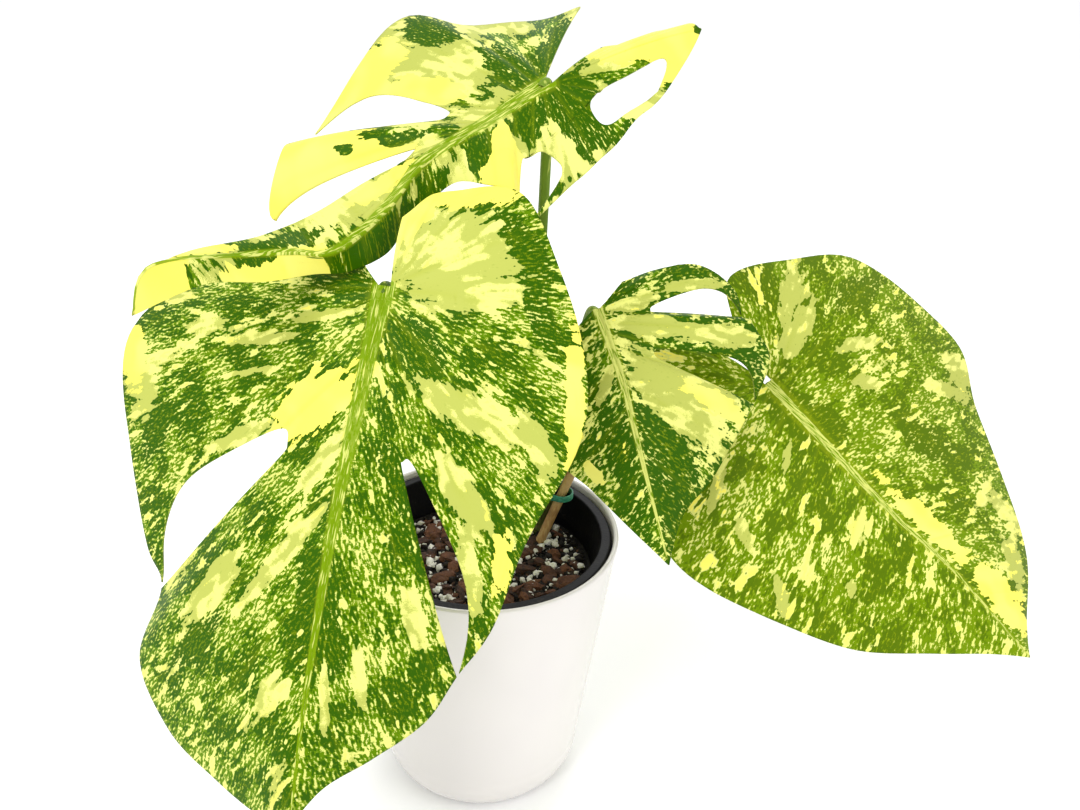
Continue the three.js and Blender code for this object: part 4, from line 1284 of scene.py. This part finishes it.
def soil_points():
    """Rings from the middle of the face outwards, down the wall, to the foot."""
    angle = np.linspace(0, 2 * math.pi, AROUND + 1)
    reach = np.linspace(0, SOIL_RADIUS - 0.15, 110)[:, None]
    x, y = reach * np.cos(angle), reach * np.sin(angle)
    rough = (np.sin(1.3 * x + 0.7 * y) * np.sin(0.9 * y - 0.4 * x)
             + 0.6 * np.sin(2.1 * x - 1.7 * y + 1.0) * np.sin(1.9 * y + 1.1 * x))
    face = np.stack([x, y, soil_height(x, y) - 0.8 + 0.45 * rough * (reach < ROUGH_REACH)], -1)
    levels = np.array([[120.0], [60.0], [8.0]])
    wall = np.stack([(liner_radius(levels) - MIX_GAP) * np.cos(angle),
                     (liner_radius(levels) - MIX_GAP) * np.sin(angle),
                     levels + 0 * angle], -1)
    floor_ring = np.zeros((1, AROUND + 1, 3))
    floor_ring[..., 2] = SOIL_FLOOR
    low = wall[-1:] * [1, 1, 0] + [0, 0, SOIL_FLOOR]
    rows = np.concatenate([face, wall, low, floor_ring])[::-1]
    return rows.reshape(-1, 3), grid_faces(len(rows), AROUND + 1)


def mix_material():
    board = Board("potting mix")
    place = board.object_place()
    crumb = board.noise(board.stretch(place, (260.0, 260.0, 260.0)), detail=4.0, roughness=0.7)
    patch = board.noise(board.stretch(place, (70.0, 70.0, 70.0)), detail=2.0)
    colour = board.mix(rgb(3, 2, 1), rgb(26, 18, 11), board.step(crumb, 0.52, 0.14))
    colour = board.mix(colour, rgb(84, 66, 44), board.step(crumb + patch * 0.3, 0.82, 0.04))
    return board.surface(colour, 0.95, board.bump(crumb, 0.004, 0.9))


points, triangles = soil_points()
put_closed("mix_body", points, triangles, mix_material(), "potting_mix", ["soil"])

# %% [markdown]
# ## Grains strewn over the mix
# The mix is coarse: white perlite, pieces of bark and dark crumbs. A grain is a
# lump, a sphere with an uneven radius, and hundreds of them are scaled, turned
# and moved in one array. Each has only a few dozen faces, because a particle
# system or thousands of objects would be slow and would not travel as one mesh.

# %% Grain helpers
random = np.random.default_rng(7)
STREW_REACH = 61.2  # mm from the axis
PAINT_CHANNELS = 4


def tinted_material(name, deep, light, grain_scale, roughness, depth):
    """Material whose tone also changes from grain to grain with the paint."""
    board = Board(name)
    place = board.object_place()
    grain = board.noise(board.stretch(place, (grain_scale,) * 3), detail=3.0, roughness=0.65)
    own = board.node("ShaderNodeAttribute", {"attribute_name": "paint"}, output=2)
    share = (own * 0.7 + (grain - 0.5) * 1.2 + 0.15).larger(0.0).smaller(1.0)
    return board.surface(board.mix(deep, light, share), roughness,
                         board.bump(grain, depth, 0.8))


def lump(around, rings, roughness):
    """Unit pebble: a sphere whose radius is roughened by three sine waves."""
    u = np.linspace(0, 2 * math.pi, around + 1)[None, :]
    v = np.linspace(0, math.pi, rings + 1)[:, None]
    x, y, z = np.sin(v) * np.cos(u), np.sin(v) * np.sin(u), np.cos(v) + 0 * u
    swell = 1 + roughness * (np.sin(3 * x + 4 * y + 1) + np.sin(5 * y - 4 * z + 2)
                             + np.sin(6 * z + 5 * x) * 0.7) / 2
    return (np.stack([x, y, z], -1) * swell[..., None]).reshape(-1, 3), \
        grid_faces(rings + 1, around + 1)


def strew(count, low, high, stretch, flat, jut):
    """Lumps of random size and turn, all in one pair of arrays: the lump's
    points are scaled, turned by random rotations and moved onto the mix."""
    shape, faces = lump(6, 4, 0.30)
    welded, faces, _, _ = weld(shape * MM, faces)
    shape = welded / MM
    size = low + (high - low) * random.random(count) ** 2.2
    reach = np.sqrt(random.random(count)) * (STREW_REACH - size * stretch)
    bearing = random.random(count) * 2 * math.pi
    x, y = reach * np.cos(bearing), reach * np.sin(bearing)
    scale = np.stack([size * (1 + (stretch - 1) * random.random(count)),
                      size * (0.7 + 0.3 * random.random(count)),
                      size * (flat + (1 - flat) * random.random(count) * 0.5)], -1)
    spin = random.random(count) * 2 * math.pi
    tilt = (random.random(count) - 0.5) * 1.4
    own = shape[None] * (1 + 0.22 * (random.random((count, len(shape), 1)) - 0.5))
    own = own * scale[:, None]
    tx = own[..., 0] * np.cos(tilt)[:, None] + own[..., 2] * np.sin(tilt)[:, None]
    tz = own[..., 2] * np.cos(tilt)[:, None] - own[..., 0] * np.sin(tilt)[:, None]
    px = tx * np.cos(spin)[:, None] - own[..., 1] * np.sin(spin)[:, None] + x[:, None]
    py = tx * np.sin(spin)[:, None] + own[..., 1] * np.cos(spin)[:, None] + y[:, None]
    pz = tz + (soil_height(x, y) + jut * size)[:, None]
    points = np.stack([px, py, pz], -1).reshape(-1, 3)
    triangles = (faces[None] + np.arange(count)[:, None, None] * len(shape)).reshape(-1, 3)
    paint = np.repeat(random.random(count), len(shape))[:, None] * np.ones(PAINT_CHANNELS)
    return points, triangles, paint


# %% Strewn grains
PERLITE = tinted_material("perlite", rgb(196, 190, 178), rgb(246, 244, 238), 500.0, 0.85, 0.0012)
BARK = tinted_material("bark", rgb(14, 8, 4), rgb(104, 62, 34), 300.0, 0.85, 0.0025)
CRUMB = tinted_material("crumb", rgb(4, 2, 1), rgb(34, 24, 16), 400.0, 0.95, 0.002)

GRAINS = [  # name, how many, least and largest size, stretch, flatness, jut, look, slot
    ("perlite_grains", 560, 0.8, 3.0, 1.35, 0.75, 0.2, PERLITE, "perlite"),
    ("bark_grains", 330, 1.2, 5.6, 1.9, 0.45, 0.05, BARK, "bark"),
    ("crumb_grains", 1100, 0.8, 2.6, 1.4, 0.7, 0.0, CRUMB, "potting_mix")]
for name, count, low, high, stretch, flat, jut, material, slot in GRAINS:
    points, triangles, paint = strew(count, low, high, stretch, flat, jut)
    put_closed(name, points, triangles, material, slot, paint=paint, smooth=name != "bark_grains")

# %% [markdown]
# ## Large pieces on the mix
# Eleven pieces are large enough to be parts of their own in the CAD model. They
# use the same lump with many more faces, at the places of their CAD nodes.

# %% Large bark and perlite
FIT = 0.92  # of the CAD piece's width, so that the bumps stay inside it
BIG = {  # share x, share y of the mix's radius, size, stretch, turn, flatness
    "bark_chip_1": (0.78, -0.34, 6, 1.5, 20, 0.45), "bark_chip_2": (0.2, -0.6, 5, 1.6, 80, 0.4),
    "bark_chip_3": (0.52, -0.66, 4.5, 1.4, 140, 0.5),
    "bark_chip_4": (-0.36, -0.28, 5, 1.7, 35, 0.4),
    "bark_chip_5": (-0.48, 0.42, 5, 1.5, 110, 0.45),
    "perlite_1": (0.64, -0.1, 2.6, 1.2, 50, 0.8), "perlite_2": (0.44, -0.42, 2.4, 1.2, 100, 0.8),
    "perlite_3": (0.9, -0.08, 2.2, 1.2, 150, 0.8), "perlite_4": (0.04, -0.84, 2.4, 1.2, 200, 0.8),
    "perlite_5": (-0.64, -0.22, 2.6, 1.2, 250, 0.8), "perlite_6": (0, 0.7, 2.5, 1.2, 300, 0.8)}
for name, (share_x, share_y, size, stretch, turn_by, flat) in BIG.items():
    shape, faces = lump(20, 14, 0.16)
    shape = shape * [size * stretch * FIT, size * FIT, size * flat]
    angle = math.radians(turn_by)
    x, y = share_x * SOIL_RADIUS, share_y * SOIL_RADIUS
    moved = np.stack([shape[:, 0] * math.cos(angle) - shape[:, 1] * math.sin(angle) + x,
                      shape[:, 0] * math.sin(angle) + shape[:, 1] * math.cos(angle) + y,
                      shape[:, 2] + soil_height(x, y) + size * flat * 0.6], 1)
    is_bark = name.startswith("bark")
    tone = np.full((len(moved), PAINT_CHANNELS), 0.75 if is_bark else 0.8)
    put_closed(name + "_lump", moved, faces, BARK if is_bark else PERLITE,
               "bark" if is_bark else "perlite", [name], paint=tone)

# %% [markdown]
# ## Floor and light
# A plain pale floor and an even white sky stand in for a bright studio. One
# large soft lamp from the upper left front models the leaves, and weak ones
# on the right and behind keep the shadows open.

# %% Floor and light
def floor_material():
    board = Board("floor")
    place = board.object_place()
    cloud = board.noise(board.stretch(place, (1.5, 1.5, 1.5)), detail=2.0)
    colour = board.mix(rgb(246, 246, 246), rgb(250, 250, 250), cloud)
    return board.surface(colour, 0.9, board.bump(cloud, 0.0005, 0.1))


half_floor = 4.0
floor_mesh = bpy.data.meshes.new("floor")
floor_mesh.from_pydata([(-half_floor, -half_floor, 0), (half_floor, -half_floor, 0),
                        (half_floor, half_floor, 0), (-half_floor, half_floor, 0)],
                       [], [(0, 1, 2, 3)])
floor_mesh.materials.append(floor_material())
floor = bpy.data.objects.new("floor", floor_mesh)
bpy.context.scene.collection.objects.link(floor)
floor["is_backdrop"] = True

world = bpy.data.worlds.new("studio")
world.use_nodes = True
backdrop = world.node_tree.nodes["Background"]
backdrop.inputs["Color"].default_value = (1.0, 1.0, 1.0, 1.0)
backdrop.inputs["Strength"].default_value = 1.07
bpy.context.scene.world = world


def soft_lamp(name, at, towards, width, power):
    """Square area lamp at a point, turned to another one."""
    lamp = bpy.data.lights.new(name, "AREA")
    lamp.shape = "SQUARE"
    lamp.size = width
    lamp.energy = power
    holder = bpy.data.objects.new(name, lamp)
    holder.matrix_world = (Matrix.Translation(at)
                           @ (Vector(towards) - Vector(at)).to_track_quat("-Z", "Y")
                           .to_matrix().to_4x4())
    bpy.context.scene.collection.objects.link(holder)
    return holder


lamps = [soft_lamp("key", (-0.9, -1.1, 1.5), (0, 0, 0.25), 0.9, 22.0),
         soft_lamp("fill", (1.2, -0.8, 0.9), (0, 0, 0.25), 0.9, 6.0),
         soft_lamp("rim", (0.3, 1.2, 1.3), (0, 0, 0.3), 0.9, 6.0)]
settings = bpy.context.scene.view_settings
settings.view_transform = "Standard"
settings.look = "None"
settings.exposure = 0.0
print(len(lamps), "lamps, floor", 2 * half_floor, "m wide")

# %% [markdown]
# ## Sizes before and after
# The boxes of the imported model and of the finished one are written down side
# by side. The finished one may pass the imported one by a few millimetres, where
# a waved margin stands out.

new_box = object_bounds()
sizes = {"cad": [[float(v) for v in corner] for corner in cad_box],
         "visual": [[float(v) for v in corner] for corner in new_box]}
for key, box in sizes.items():
    print(key, [[round(v * 1000, 1) for v in corner] for corner in box])
